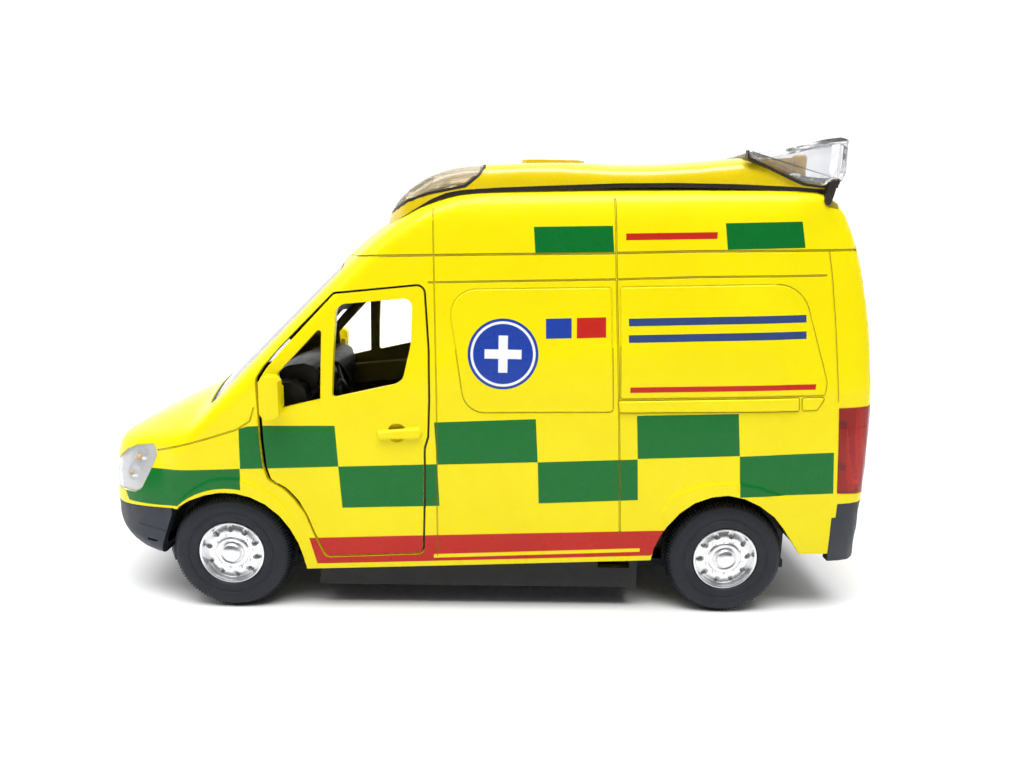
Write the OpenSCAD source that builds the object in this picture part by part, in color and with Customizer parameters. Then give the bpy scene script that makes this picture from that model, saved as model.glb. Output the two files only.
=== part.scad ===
// Toy high-roof ambulance van at about 1:32.
// Frame: +X forwards, +Y to the van's left, +Z up. The origin lies on the floor,
// below the middle of the van. All lengths are in millimetres.

/* [Wheels] */
// Distance between the two axles
wheelbase = 102; // [100:0.5:104]
// Radius of the tyre tread
tyre_r = 12.3; // [12:0.1:12.5]
// Width of each tyre
tyre_w = 8.4; // [7.5:0.1:8.6]
// Distance from the middle plane to the tyre's outer face
tyre_face = 29.2; // [28.8:0.1:29.4]
// Radius of the wheel rim
rim_r = 6.7; // [6.4:0.1:7]
// Radius of the steel axle pins
axle_r = 1.2; // [1:0.05:1.4]

/* [Body] */
// Greatest half width of the body, at the belt
half_w = 30.45; // [30.2:0.05:30.8]
// Thickness of the cast body wall and the doors
wall = 1.6; // [1.4:0.1:1.8]
// Nose-down stance of the body in degrees
rake = 2; // [1.6:0.1:2.4]
// Depth of the clear mouldings for lamps
lamp_t = 3.2; // [2.8:0.1:3.6]

/* [Doors] */
// Clear gap around the front doors
door_gap = 0.42; // [0.35:0.01:0.5]
// Extra gap along the front edge of the front doors
front_gap = 0.3; // [0.25:0.01:0.4]
// Half width of the pair of rear doors
rear_door_y = 24.6; // [24.2:0.1:24.8]
// Clear gap on the hinge side of the rear doors
rear_gap = 0.75; // [0.7:0.01:0.8]
// Distance of each rear hinge from the door's outer edge
rear_hinge_in = 3; // [2.8:0.1:3.2]
// Radius of the front hinge pins
pin_r = 0.4; // [0.35:0.05:0.45]
// Radius of the rear hinge pins
rear_pin_r = 0.35; // [0.3:0.05:0.4]

/* [Base] */
// Height of the underside above the floor
base_z = 5; // [4.6:0.1:5.4]
// Thickness of the base plate
base_t = 1.8; // [1.6:0.1:2.2]
// Half distance between the base screws, along the van
screw_x = 28; // [26:0.5:30]
// Half distance between the base screws, across the van
screw_y = 20; // [18:0.5:21]
// Radius of the base screw holes
screw_r = 1.25; // [1.2:0.05:1.5]

/* [Hidden] */
$fn = 48;
yellow = [0.96, 0.85, 0.02];
dark = [0.13, 0.14, 0.17];
black = [0.05, 0.05, 0.06];
clear = [0.85, 0.88, 0.9, 0.4];
ax = wheelbase / 2;

function unit(v) = v / norm(v);
// Moves every edge of a counter-clockwise outline inwards by d (outwards when d < 0)
function inset(p, d) = [for (i = [0:len(p) - 1])
  let (a = p[(i + len(p) - 1) % len(p)], b = p[i], c = p[(i + 1) % len(p)],
       u = unit(b - a), w = unit(c - b), n = [-u[1], u[0]], m = [-w[1], w[0]], s = unit(n + m))
  b + s * d / max(0.5, s * n)];
// A half outline with the mirrored half added, to close it across the middle plane
function both(h) = concat(h, [for (i = [len(h) - 1:-1:0]) if (h[i][0] > 0.001) [-h[i][0], h[i][1]]]);
function both_x(h) = concat(h, [for (i = [len(h) - 1:-1:0]) if (h[i][1] > 0.001) [h[i][0], -h[i][1]]]);

module along_x(p, x0, x1) { translate([x0, 0, 0]) rotate([90, 0, 90]) linear_extrude(x1 - x0) polygon(p); }
module along_y(p, y0, y1) { translate([0, y1, 0]) rotate([90, 0, 0]) linear_extrude(y1 - y0) polygon(p); }
module along_z(p, z0, z1) { translate([0, 0, z0]) linear_extrude(z1 - z0) polygon(p); }
module rod_y(x, z, r, y0, y1) { translate([x, y1, z]) rotate([90, 0, 0]) cylinder(h = y1 - y0, r = r); }
module block(a, b) { translate(a) cube(b - a); }
module right() { mirror([0, 1, 0]) children(); }

// ---- outlines of the whole body -------------------------------------------
// Side outline of the box and cab, with the windscreen line carried on inside the bonnet
cab_side = [[64, 8], [64, 38.8], [58.5, 44.2], [28, 74.2], [20.5, 79.5], [14, 83.2], [8, 85.7],
  [0, 87.2], [-20, 87.9], [-45, 88.2], [-62, 88], [-67, 87], [-70, 84.6], [-72, 80.6], [-73.8, 76],
  [-75.2, 71], [-76.6, 65], [-77.9, 58], [-79, 51], [-79.7, 44], [-80.2, 37], [-80.4, 31],
  [-80.4, 22], [-80, 15], [-78.4, 12], [-76, 12], [-74, 8]];
// Side outline of the lower body with the bonnet and nose
nose_side = [[72, 11.2], [75, 11.6], [77.4, 12.8], [79.2, 15], [80.1, 18], [80.4, 21.5],
  [80.3, 25], [79.9, 28.5], [79.1, 31.4], [77.6, 33.8], [75.5, 35.5], [72, 37.4], [67, 39.8],
  [62, 42.2], [58.5, 44.2], [50, 44.4], [-79.6, 44], [-80.2, 37], [-80.4, 31], [-80.4, 22],
  [-80, 15], [-78.4, 12], [-76, 12], [-74, 8], [60, 8]];
// Plan outline: nose and rear corners, right-hand half listed from the rear
plan_half = [[80.4, 0], [80.2, 8], [79.4, 14], [78.3, 18.6], [76.8, 21.8], [75, 24], [73, 25.6],
  [70, 27.1], [62, half_w - 1.5], [52, half_w - 0.4], [40, half_w], [-66, half_w],
  [-74, half_w - 0.35], [-78, half_w - 1.2], [-79.4, half_w - 2.2], [-80.2, half_w - 4],
  [-80.4, half_w - 7], [-80.4, 0]];
plan = concat(plan_half, [for (i = [len(plan_half) - 2:-1:1]) [plan_half[i][0], -plan_half[i][1]]]);
// Cross outline: sides leaning in to the roof edge
cross_half = [[0, 6], [half_w - 1.1, 6], [half_w - 0.4, 14], [half_w, 26], [half_w, 34],
  [half_w - 0.35, 46], [half_w - 1.2, 55], [half_w - 2.3, 66], [half_w - 3, 73],
  [half_w - 3.6, 78], [half_w - 4.3, 81.5], [half_w - 5.6, 84.3], [half_w - 7.7, 86.2],
  [half_w - 11, 87.5], [half_w - 17, 88.3], [0, 88.8]];
cross = both(cross_half);
// Cross outline of the bonnet, measured square to its slope from a point over its side crease
hood_half = [[0, -60], [33, -60], [31.5, -6], [30.2, -1.4], [29, 1], [27, 2.8], [23.5, 4.4],
  [17, 6.2], [9, 7.4], [0, 7.9]];
hood = both(hood_half);
hood_slope = 22;
// Windscreen: base point, slope, and how far it curves back towards its sides
ws_base = [58.5, 44.2];
ws_a = 224.5;
ws_k = 0.0054;
ws_arc = concat([for (y = [-32:4:32]) [y, ws_k * y * y]], [[32, 160], [-32, 160]]);

module raked() { rotate([0, rake, 0]) children(); }
module ws_frame() { translate([ws_base[0], 0, ws_base[1]]) rotate([0, ws_a, 0]) children(); }

// The body's outer form, with every face moved inwards by d
module envelope(d) {
  intersection() {
    raked() along_x(inset(cross, d), -100, 100);
    along_z(inset(plan, d), -2, 110);
    union() {
      intersection() {
        along_y(inset(cab_side, d), -40, 40);
        ws_frame() translate([-70, 0, 0]) rotate([90, 0, 90]) linear_extrude(200)
          polygon([for (p = ws_arc) [p[0], p[1] + (p[1] < 100 ? d : 0)]]);
      }
      intersection() {
        along_y(inset(nose_side, d), -40, 40);
        translate([50, 0, 39]) rotate([0, hood_slope, 0]) along_x(inset(hood, d), -150, 60);
      }
    }
  }
}
module skin(t = wall) { difference() { envelope(0); envelope(t); } }

// ---- openings in the body ---------------------------------------------------
door_line = [[11.8, 13.3], [30.6, 12.2], [32, 12.7], [32.8, 14.4], [33.7, 17.4], [35.1, 21.3],
  [37, 24.5], [39.1, 26.8], [42, 28.4], [42.8, 29.6], [43.4, 36.9], [43.8, 49.2], [42.8, 50.6],
  [39.2, 55], [28.7, 66], [27.5, 66.3], [11.5, 68], [11, 66.9], [10.4, 55.3], [10.2, 45.5],
  [10.4, 38], [11.2, 36], [11.2, 14.4]];
main_window = [[13.5, 61.1], [14, 56.2], [15, 52.3], [15.8, 50.1], [17.3, 48.4], [21.8, 47.4],
  [29.2, 45.6], [29.1, 51.1], [28.7, 56.9], [28.5, 61.2], [27.6, 63.6], [26.6, 64],
  [14.4, 65.2], [13.5, 64.3]];
quarter_window = [[31.6, 45.2], [39.5, 43.3], [39.8, 50.3], [31.2, 59.4]];
head_line = [[65.9, 32], [67.2, 29.3], [69.3, 25.4], [70.7, 24.5], [84, 23.6], [84, 25.3],
  [76.8, 29.6], [73.5, 32.4], [70.9, 33.6], [67, 34.4], [66, 33.8]];
tail_line = [[-84, 26.8], [-72.6, 27.2], [-71.1, 45], [-84, 45.6]];
sill_line = [[-90, 0], [90, 0], [90, 9.2], [35.5, 9.3], [-35.4, 12.2], [-66.2, 13.7], [-90, 13.9]];
bumper_line = [[61, 0], [90, 0], [90, 20.7], [75, 21], [70, 21.5], [61.6, 21.8], [61, 21.8]];
grille_line = [[-15.5, 23.2], [15.5, 23.2], [17.2, 29.6], [15.8, 30.8], [-15.8, 30.8], [-17.2, 29.6]];
ws_line = [[1.6, -25.4], [20, -24.4], [39.2, -22.2], [40.2, -21], [40.2, 21], [39.2, 22.2], [20, 24.4], [1.6, 25.4]];
rear_glass = [[5.2, 51], [20.6, 51], [20.2, 66.5], [19, 68], [6.4, 68], [5.2, 66.8]];
// Rear hinge axis, as a line through these two points in the side view
hinge_lo = [-79.9, 19];
hinge_hi = [-74.2, 73];
hinge_y = rear_door_y - rear_hinge_in;
rear_lo = 19.4;
rear_hi = 72.6;
// Front hinge axis: upright, just inside the skin at the front edge of the door
front_hinge = [41.2, 29];

function rear_door_line(y0, y1, g) = [[y0 - g, rear_lo - g], [y1 + g, rear_lo - g],
  [y1 + g, rear_hi - 2 + g], [y1 - 2 + g, rear_hi + g], [y0 - g, rear_hi + g]];
function rear_bumper_y() = rear_door_y + 0.9;

module arch_cuts() {
  rod_y(50.7, 11.2, 14.8, -40, 40);
  rod_y(-50.8, 11.3, 15.3, -40, 40);
}
module front_door_zone(d, f) {
  intersection() {
    along_y(inset(door_line, d), 20, 40);
    union() { block([0, 0, 0], [36, 60, 90]); along_y([for (p = inset(door_line, d)) p[0] > 36 ? p + [f, f * 0.3] : p], 20, 40); }
  }
}
module window_zone(d) {
  along_y(inset(main_window, d), 20, 40);
  along_y(inset(quarter_window, d), 20, 40);
}
module head_zone(d) { intersection() { along_y(inset(head_line, d), 17.4 + d, 40); block([60, 0, 0], [90, 40, 50]); } }
module tail_zone(d) { along_y(inset(tail_line, d), 25.7 + d, 40); }
module rear_bumper_zone(d) {
  along_y([[-84, 8], [-72.4 - d, 8], [-72.4 - d, 21.9 - d], [-73.1 - d, 21.9 - d], [-73.1 - d, 24.9 - d], [-84, 25.3 - d]], rear_bumper_y() + d, 40);
}
module rear_step_zone(d) { along_y([[-84, 8], [-74.6 - d, 8], [-74.6 - d, 18.6 - d], [-84, 18.6 - d]], -40, 40); }
module ws_zone(d) { ws_frame() translate([0, 0, -6]) linear_extrude(18) polygon(inset(ws_line, -d)); }
module grille_zone(d) { along_x(inset(grille_line, d), 70, 90); }

// ---- body -------------------------------------------------------------------
module body_shell() {
  color(yellow) difference() {
    skin();
    along_y(sill_line, -40, 40);
    along_y(bumper_line, -40, 40);
    arch_cuts();
    along_y(inset([for (p = door_line) p[0] > 36 ? p + [front_gap, 0] : p], -door_gap / 2), 20, 40);
    right() along_y(inset([for (p = door_line) p[0] > 36 ? p + [front_gap, 0] : p], -door_gap / 2), 20, 40);
    head_zone(0);
    right() head_zone(0);
    tail_zone(0);
    right() tail_zone(0);
    rear_bumper_zone(0);
    right() rear_bumper_zone(0);
    rear_step_zone(0);
    ws_zone(0);
    grille_zone(0);
    along_x([[-rear_door_y - rear_gap, rear_lo - 2], [rear_door_y + rear_gap, rear_lo - 2],
      [rear_door_y + rear_gap, rear_hi - 1.6], [rear_door_y - 1.4, rear_hi + 0.4],
      [-rear_door_y + 1.4, rear_hi + 0.4], [-rear_door_y - rear_gap, rear_hi - 1.6]], -90, -68);
    front_pin_holes();
    right() front_pin_holes();
    rear_pins();
    right() rear_pins();
  }
  // Flanges at the sill take the base screws
  color(yellow) {
    sill_flanges();
    right() sill_flanges();
  }
}
module sill_flanges() {
  for (x = [-screw_x, screw_x]) difference() {
    intersection() {
      union() {
        block([x - 3, 17, 9.4 + 0.4 * (x < 0 ? 1 : 0)], [x + 3, 25.6, 12.2]);
        block([x - 3, 17, x < 0 ? 12.1 : 10], [x + 3, 29.4, x < 0 ? 13.8 : 12.2]);
      }
      envelope(0.6);
    }
    translate([x, screw_y, 0]) cylinder(h = 20, r = 0.95);
  }
}
module front_pin_holes() { translate([front_hinge[0], front_hinge[1], 24.6]) cylinder(h = 8, r = pin_r); }

// ---- doors ------------------------------------------------------------------
module front_door() {
  difference() {
    union() {
      intersection() {
        skin();
        along_y(inset([for (p = door_line) p[0] > 36 ? p + [-front_gap * 0.6, 0] : p], door_gap / 2), 20, 40);
      }
      // Hinge barrel on the inside of the front edge
      intersection() {
        translate([front_hinge[0], front_hinge[1], 29.4]) cylinder(h = 20, r = 1.1);
        envelope(0.4);
      }
      // Stiffening rail along the inside, below the windows
      intersection() {
        difference() { envelope(wall - 0.2); envelope(wall + 1); }
        along_y([[13, 38], [39, 36], [39.4, 41.4], [13, 44]], 20, 40);
      }
      // Pull handle on the outside
      intersection() {
        difference() { envelope(-0.8); envelope(0.3); }
        along_y([[12, 37.7], [20.4, 37.4], [20.6, 39.2], [12, 40]], 20, 40);
      }
    }
    window_zone(0);
    translate([front_hinge[0], front_hinge[1], 24]) cylinder(h = 24.6, r = pin_r + 0.06);
  }
}
module front_door_left() { color(yellow) front_door(); }
module front_door_right() { color(yellow) right() front_door(); }
module mirror_housing() {
  difference() {
    union() {
      // Arm from the window corner, then the housing
      along_y([[38.6, 43.6], [41, 43.2], [41, 48], [38.6, 48]], 29.2, 31.8);
      intersection() {
        along_y([[38.6, 42.2], [41.5, 42], [42.2, 43], [42.2, 49.6], [41.4, 50.6], [39, 50.4], [38.4, 49.4], [38.4, 43]], 31.4, 34.4);
        along_z([[38, 31], [40.8, 31], [42.2, 32.2], [42.2, 33.6], [41.6, 34.4], [38.4, 34.4], [38, 34]], 40, 52);
      }
    }
    envelope(0);
  }
}
module mirror_left() { color(yellow) mirror_housing(); }
module mirror_right() { color(yellow) right() mirror_housing(); }
module door_pins() {
  color("silver") {
    for (s = [-1, 1]) translate([front_hinge[0], s * front_hinge[1], 24.6]) cylinder(h = 23.4, r = pin_r);
    rear_pins();
    right() rear_pins();
  }
}
// Short pins at the foot and the head of each rear door
module rear_pins(r = rear_pin_r) {
  rear_hinge_line(r, -2.4, 3.4);
  rear_hinge_line(r, 50.4, 55.6);
}
module rear_hinge_line(r, z0, z1) {
  a = atan2(hinge_hi[0] - hinge_lo[0], hinge_hi[1] - hinge_lo[1]);
  translate([hinge_lo[0], hinge_y, hinge_lo[1]]) rotate([0, a, 0]) translate([0, 0, z0]) cylinder(h = z1 - z0, r = r);
}
module rear_door() {
  difference() {
    intersection() {
      skin();
      along_x(rear_door_line(0.25, rear_door_y, 0), -90, -68);
    }
    along_x(rear_glass, -90, -68);
    rear_hinge_line(rear_pin_r + 0.06, -3, 3.6);
    rear_hinge_line(rear_pin_r + 0.06, 50.2, 58);
  }
}
module rear_door_left() { color(yellow) rear_door(); }
module rear_door_right() { color(yellow) right() rear_door(); }
module rear_window() {
  intersection() {
    difference() { envelope(0.35); envelope(wall - 0.1); }
    along_x(inset(rear_glass, 0.05), -90, -68);
  }
}
module rear_window_left() { color(clear) rear_window(); }
module rear_window_right() { color(clear) right() rear_window(); }

// ---- clear, dark and bright pieces on the body ------------------------------
module windscreen() {
  color(clear) intersection() {
    difference() { envelope(0.25); envelope(wall); }
    ws_zone(-0.05);
  }
}
module grille() {
  color(black) intersection() {
    difference() { envelope(0.5); envelope(wall + 0.6); }
    grille_zone(0.05);
  }
}
module front_bumper() {
  color(dark) difference() {
    skin(2);
    along_y([[60, -2], [60, 60], [90, 60], [90, 20.6], [75, 20.9], [70, 21.4], [62.7, 21.7], [62.7, 20.6], [65.8, 12.4], [66.4, 11], [66.6, 8], [66.6, -2]], -40, 40);
    block([-100, -50, -10], [60.1, 50, 110]);
  }
}
module rear_bumper() {
  color(dark) intersection() {
    skin(2.2);
    union() {
      rear_bumper_zone(0.05);
      right() rear_bumper_zone(0.05);
      rear_step_zone(0.05);
    }
    block([-90, -40, 12], [-60, 40, 40]);
    difference() {
      block([-100, -50, 0], [0, 50, 60]);
      rear_pins();
      right() rear_pins();
    }
  }
}
module headlamp_left() { color(clear) intersection() { skin(lamp_t); head_zone(0.05); } }
module headlamp_right() { color(clear) right() intersection() { skin(lamp_t); head_zone(0.05); } }
module tail_lamp_left() { color([0.8, 0.05, 0.03]) intersection() { skin(lamp_t); tail_zone(0.05); } }
module tail_lamp_right() { color([0.8, 0.05, 0.03]) right() intersection() { skin(lamp_t); tail_zone(0.05); } }

// ---- roof lights ------------------------------------------------------------
fairing_side = [[21.2, 76.6], [20.8, 79.2], [19.4, 82.4], [16.8, 85.6], [13, 88.3], [8, 90.2],
  [0, 91.3], [-10, 92.1], [-18, 92.1], [-27, 91.7], [-36, 92], [-46, 92.9], [-54, 94],
  [-61, 95.4], [-67.4, 95.6], [-70.2, 93], [-70.4, 90], [-69.8, 86.6], [-60.9, 87], [-49, 87.3],
  [-37.6, 87.3], [-26, 87], [-14.5, 86.4], [-3, 85.7], [4.7, 84.9], [10.4, 83], [16.2, 79.5], [19.3, 77.4]];
fairing_plan = both_x([[22, 0], [21.4, 8], [20, 15], [18, 19.6], [15.5, 22.6], [12, 24.2], [6, 24.9],
  [-62, 24.9], [-67, 24.3], [-69.6, 22.8], [-70.6, 19.6], [-70.6, 0]]);
front_lens_side = [[22, 80.6], [22, 92], [2, 92], [-0.2, 90.4], [1.2, 88.4], [3.7, 86.7], [10.7, 84.9], [15, 83.2], [18.4, 81.2]];
rear_lens_side = [[-49.6, 94], [-55, 91.7], [-59.1, 89.8], [-62.1, 88.6], [-65, 88.3], [-69.4, 88.4], [-71.4, 92],
  [-72, 94.6], [-71, 96.6], [-68.6, 97.3], [-64.8, 96.7], [-60, 95.3], [-54.2, 94.2]];
module fairing_form() {
  intersection() {
    along_y(fairing_side, -30, 30);
    along_z(fairing_plan, 70, 99);
    raked() along_x(both([[0, 70], [24.6, 70], [24.9, 87.4], [24.4, 89], [23.2, 90.4], [21.4, 91.6], [18, 93], [12, 94.2], [0, 95]]), -90, 40);
  }
}
module roof_fairing() {
  color(yellow) difference() {
    fairing_form();
    envelope(-0.02);
    along_y(front_lens_side, -40, 40);
    along_y(rear_lens_side, -40, 40);
    block([-100, -40, 70], [-69.2, 40, 88.2]);
  }
}
module front_beacon_lens() {
  color([0.85, 0.6, 0.3, 0.6]) difference() {
    intersection() { fairing_form(); along_y(inset([for (i = [len(front_lens_side) - 1:-1:0]) front_lens_side[len(front_lens_side) - 1 - i]], 0.04), -40, 40); }
    envelope(-0.02);
  }
}
module rear_beacon_lens() {
  color(clear) difference() {
    intersection() {
      along_y(inset([for (i = [len(rear_lens_side) - 1:-1:0]) rear_lens_side[i]], 0.04), -24.6, 24.6);
      along_z(both_x([[-48, 0], [-48, 23], [-52, 24.6], [-66, 24.6], [-70, 23.4], [-72, 21], [-72.4, 0]]), 80, 99);
    }
    envelope(-0.02);
    for (s = [-1, 1]) translate([0, s * 14, 0]) rod_y(-64, 92, 2.1, -4.1, 4.1);
  }
}
module beacon_reflectors() {
  color([0.9, 0.5, 0.1]) for (s = [-1, 1]) translate([0, s * 14, 0]) rod_y(-64, 92, 2, -4, 4);
}

// ---- cab and load space -----------------------------------------------------
module wheel_well(x, z, r) {
  difference() {
    union() { rod_y(x, z, r + 1.1, 17.6, 27.6); rod_y(x, z, r + 1.1, -27.6, -17.6); }
    rod_y(x, z, r, 18.6, 30);
    rod_y(x, z, r, -30, -18.6);
    block([x - 30, -40, -20], [x + 30, 40, 14.7]);
  }
}
module interior_floor() {
  color(black) difference() {
    union() {
      along_z(both_x([[62, 0], [62, 17.6], [36, 17.6], [34.6, 27.4], [-34.4, 27.4], [-35, 17.6], [-67.6, 17.6], [-68, 27], [-74.4, 27], [-74.4, 0]]), 14.7, 15.8);
      wheel_well(50.7, 11.2, 15);
      wheel_well(-50.8, 11.3, 15.5);
      // Partition behind the seats, with a pass-through window
      difference() {
        block([6.2, -25.6, 15.6], [7.4, 25.6, 70]);
        block([5, -9, 46], [9, 9, 62]);
      }
    }
    difference() { block([-100, -60, -10], [100, 60, 110]); envelope(2.3); }
  }
}
module seat(y0, y1) {
  along_y([[12.4, 15.9], [25.5, 15.9], [26.2, 19.4], [26.6, 22], [25.4, 24.2], [22, 24.8], [13.4, 23.6], [11.6, 42], [10.6, 44.6], [8.6, 44.6], [8, 43], [9.4, 24], [10, 18]], y0, y1);
}
module driver_seat() {
  color(black) { seat(6.5, 21.5); along_y([[8.2, 45.2], [10.8, 45.2], [10.6, 50.6], [8.6, 50.6]], 10, 18); block([8.9, 12, 44.4], [10, 16, 45.4]); }
}
module passenger_seat() {
  color(black) {
    seat(-22.5, 2.5);
    for (y = [-15, -4]) { along_y([[8.2, 45.2], [10.8, 45.2], [10.6, 50.6], [8.6, 50.6]], y - 4, y + 4); block([8.9, y - 2, 44.4], [10, y + 2, 45.4]); }
  }
}
module dashboard() {
  color(black) intersection() {
    difference() {
      union() {
        along_y([[37.4, 27.6], [62, 27.6], [62, 33], [58, 39], [50, 45], [44, 47.4], [38, 47.6], [36, 46.4], [35.2, 43], [35.4, 39], [37.2, 34]], -25.2, 25.2);
        // Hood over the dials
        along_y([[34.4, 44.6], [37, 44], [46, 46], [41, 49.6], [37.4, 50.8], [34.6, 50.2], [33.8, 48.4]], 7, 21);
      }
      wheel_axis() translate([0, 0, -16]) cylinder(h = 14.6, r = 1.4);
      block([30, -40, 20], [44, -25.4, 60]);
    }
    envelope(wall + 0.2);
  }
}
module wheel_axis() { translate([30.3, 14, 44.6]) rotate([0, -66.5, 0]) children(); }
module steering_wheel() {
  color(black) wheel_axis() {
    rotate_extrude() translate([5.6, 0]) circle(r = 0.55, $fn = 16);
    cylinder(h = 1.2, r = 1.7, center = true);
    for (a = [0, 120, 240]) rotate([0, 0, a + 90]) block([0.8, -0.5, -0.35], [5.4, 0.5, 0.35]);
    translate([0, 0, -9.4]) cylinder(h = 9, r = 1.2);
  }
}

// ---- underside --------------------------------------------------------------
module bearing(x) {
  for (s = [-1, 1]) difference() {
    block([x - 3.4, s * 15.6 - 1.6, base_z], [x + 3.4, s * 15.6 + 1.6, 14.6]);
    rod_y(x, tyre_r, axle_r + 0.06, -40, 40);
  }
}
module chassis_base() {
  color(black) difference() {
    union() {
      along_z(both_x([[71, 0], [71, 12], [68, 17.2], [34.4, 17.2], [33.4, 27.6], [-33, 27.6], [-34, 17.2], [-67.8, 17.2], [-67.8, 0]]), base_z, base_z + base_t);
      for (s = [-1, 1]) block([-33, s * 26.8 - 0.8, base_z], [33.2, s * 26.8 + 0.8, 12.6]);
      for (x = [-screw_x, screw_x], y = [-screw_y, screw_y]) translate([x, y, base_z]) cylinder(h = 4.3, r = 2.8);
      bearing(ax);
      bearing(-ax);
      block([64.4, -12, base_z], [66.2, 12, 10.8]);
      // Rear end, stepped up above the sill
      block([-67.8, -16, base_z], [-66.3, 16, 14.6]);
      block([-74, -16, 13.4], [-66.3, 16, 14.6]);
    }
    for (x = [-screw_x, screw_x], y = [-screw_y, screw_y]) {
      translate([x, y, 0]) cylinder(h = 20, r = screw_r);
      block([x - 3.3, y - 60 * (y < 0 ? 1 : 0), 9.35], [x + 3.3, y + 60 * (y > 0 ? 1 : 0), 20]);
    }
    // Battery bay, and the slot over the motor's gear
    block([-12.1, -11.1, -1], [12.1, 11.1, 20]);
  }
}
module battery_cover() {
  color(black) difference() {
    block([-12, -11, base_z], [12, 11, base_z + 1.2]);
    for (x = [-8, 0, 8]) block([x - 0.3, -8, base_z - 1], [x + 0.3, 8, base_z + 0.3]);
  }
}
module motor_block() {
  color("dimgray") difference() {
    block([-66, -12, base_z + base_t], [-38, 12, 12.2]);
    rod_y(-ax, tyre_r, axle_r + 0.8, -40, 40);
  }
}

// ---- wheels -----------------------------------------------------------------
module axle(x) { rod_y(x, tyre_r, axle_r, -(tyre_face - 3.2), tyre_face - 3.2); }
// Wheel seen from its outer face, which lies on the XY plane; the wheel is below it
module tyre() {
  rotate_extrude() polygon([[rim_r, -tyre_w + 0.6], [rim_r + 0.6, -tyre_w], [tyre_r - 1.6, -tyre_w + 0.1],
    [tyre_r - 0.5, -tyre_w + 0.8], [tyre_r, -tyre_w + 1.8], [tyre_r, -1.8], [tyre_r - 0.5, -0.8],
    [tyre_r - 1.6, -0.1], [rim_r + 0.8, 0], [rim_r, -0.5]]);
}
module rim() {
  difference() {
    rotate_extrude() polygon([[0, -5.2], [2.6, -5.2], [2.8, -2.6], [rim_r - 1, -2.4], [rim_r - 0.7, -tyre_w + 0.4],
      [rim_r - 0.02, -tyre_w + 0.4], [rim_r - 0.02, -0.45], [rim_r - 0.3, -0.1], [rim_r - 0.7, -0.4], [rim_r - 1.4, -1.3],
      [2.6, -1], [2.2, -0.8], [2, 0.2], [1.4, 0.45], [0, 0.5]]);
    for (i = [0:9]) rotate([0, 0, 36 * i]) translate([rim_r - 1.7, 0, -4]) cylinder(h = 6, r = 0.55, $fn = 24);
    translate([0, 0, -9]) cylinder(h = 5.8, r = axle_r);
  }
}
module at_wheel(sx, sy) { translate([sx * ax, sy * tyre_face, tyre_r]) rotate([-90 * sy, 0, 0]) children(); }
module front_axle() { color("silver") axle(ax); }
module rear_axle() { color("silver") axle(-ax); }
module rim_front_left() { color("silver") at_wheel(1, 1) rim(); }
module rim_front_right() { color("silver") at_wheel(1, -1) rim(); }
module rim_rear_left() { color("silver") at_wheel(-1, 1) rim(); }
module rim_rear_right() { color("silver") at_wheel(-1, -1) rim(); }
module tyre_front_left() { color(black) at_wheel(1, 1) tyre(); }
module tyre_front_right() { color(black) at_wheel(1, -1) tyre(); }
module tyre_rear_left() { color(black) at_wheel(-1, 1) tyre(); }
module tyre_rear_right() { color(black) at_wheel(-1, -1) tyre(); }

body_shell();
front_door_left();
front_door_right();
mirror_left();
mirror_right();
door_pins();
rear_door_left();
rear_door_right();
rear_window_left();
rear_window_right();
windscreen();
grille();
front_bumper();
rear_bumper();
headlamp_left();
headlamp_right();
tail_lamp_left();
tail_lamp_right();
roof_fairing();
front_beacon_lens();
rear_beacon_lens();
beacon_reflectors();
interior_floor();
driver_seat();
passenger_seat();
dashboard();
steering_wheel();
chassis_base();
battery_cover();
motor_block();
front_axle();
rear_axle();
rim_front_left();
rim_front_right();
rim_rear_left();
rim_rear_right();
tyre_front_left();
tyre_front_right();
tyre_rear_left();
tyre_rear_right();
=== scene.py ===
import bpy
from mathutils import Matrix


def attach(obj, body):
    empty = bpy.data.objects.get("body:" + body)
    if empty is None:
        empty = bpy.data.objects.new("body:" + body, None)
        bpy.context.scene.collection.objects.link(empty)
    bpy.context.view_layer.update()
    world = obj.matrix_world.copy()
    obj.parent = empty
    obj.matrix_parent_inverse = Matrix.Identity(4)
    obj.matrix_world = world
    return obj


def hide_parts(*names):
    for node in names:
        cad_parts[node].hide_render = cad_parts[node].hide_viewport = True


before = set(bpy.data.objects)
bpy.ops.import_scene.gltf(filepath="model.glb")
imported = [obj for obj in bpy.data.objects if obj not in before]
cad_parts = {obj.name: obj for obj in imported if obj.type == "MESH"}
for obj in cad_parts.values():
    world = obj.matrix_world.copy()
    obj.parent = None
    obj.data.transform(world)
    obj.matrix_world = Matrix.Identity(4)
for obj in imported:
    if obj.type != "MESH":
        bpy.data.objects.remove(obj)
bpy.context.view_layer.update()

import math
import bmesh
import bpy
import numpy as np
from mathutils import Matrix, Vector
from mathutils.geometry import delaunay_2d_cdt

MM = 0.001

# ---------------------------------------------------------------- small maths
def chaikin(pts, n=2, closed=True):
    p = np.array(pts, float)
    for _ in range(n):
        q = np.roll(p, -1, 0)
        a, b = 0.75 * p + 0.25 * q, 0.25 * p + 0.75 * q
        if not closed:
            a, b = a[:-1], b[:-1]
        r = np.empty((len(a) * 2, 2))
        r[0::2], r[1::2] = a, b
        if not closed:
            r = np.vstack([p[:1], r, p[-1:]])
        p = r
    return p


def planes(pts):
    """Outward edge normals and offsets of a counter-clockwise outline."""
    p = np.array(pts, float)
    d = np.roll(p, -1, 0) - p
    ln = np.hypot(d[:, 0], d[:, 1])
    keep = ln > 1e-6
    p, d, ln = p[keep], d[keep], ln[keep]
    n = np.stack([d[:, 1], -d[:, 0]], 1) / ln[:, None]
    return n, (n * p).sum(1)


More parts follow.
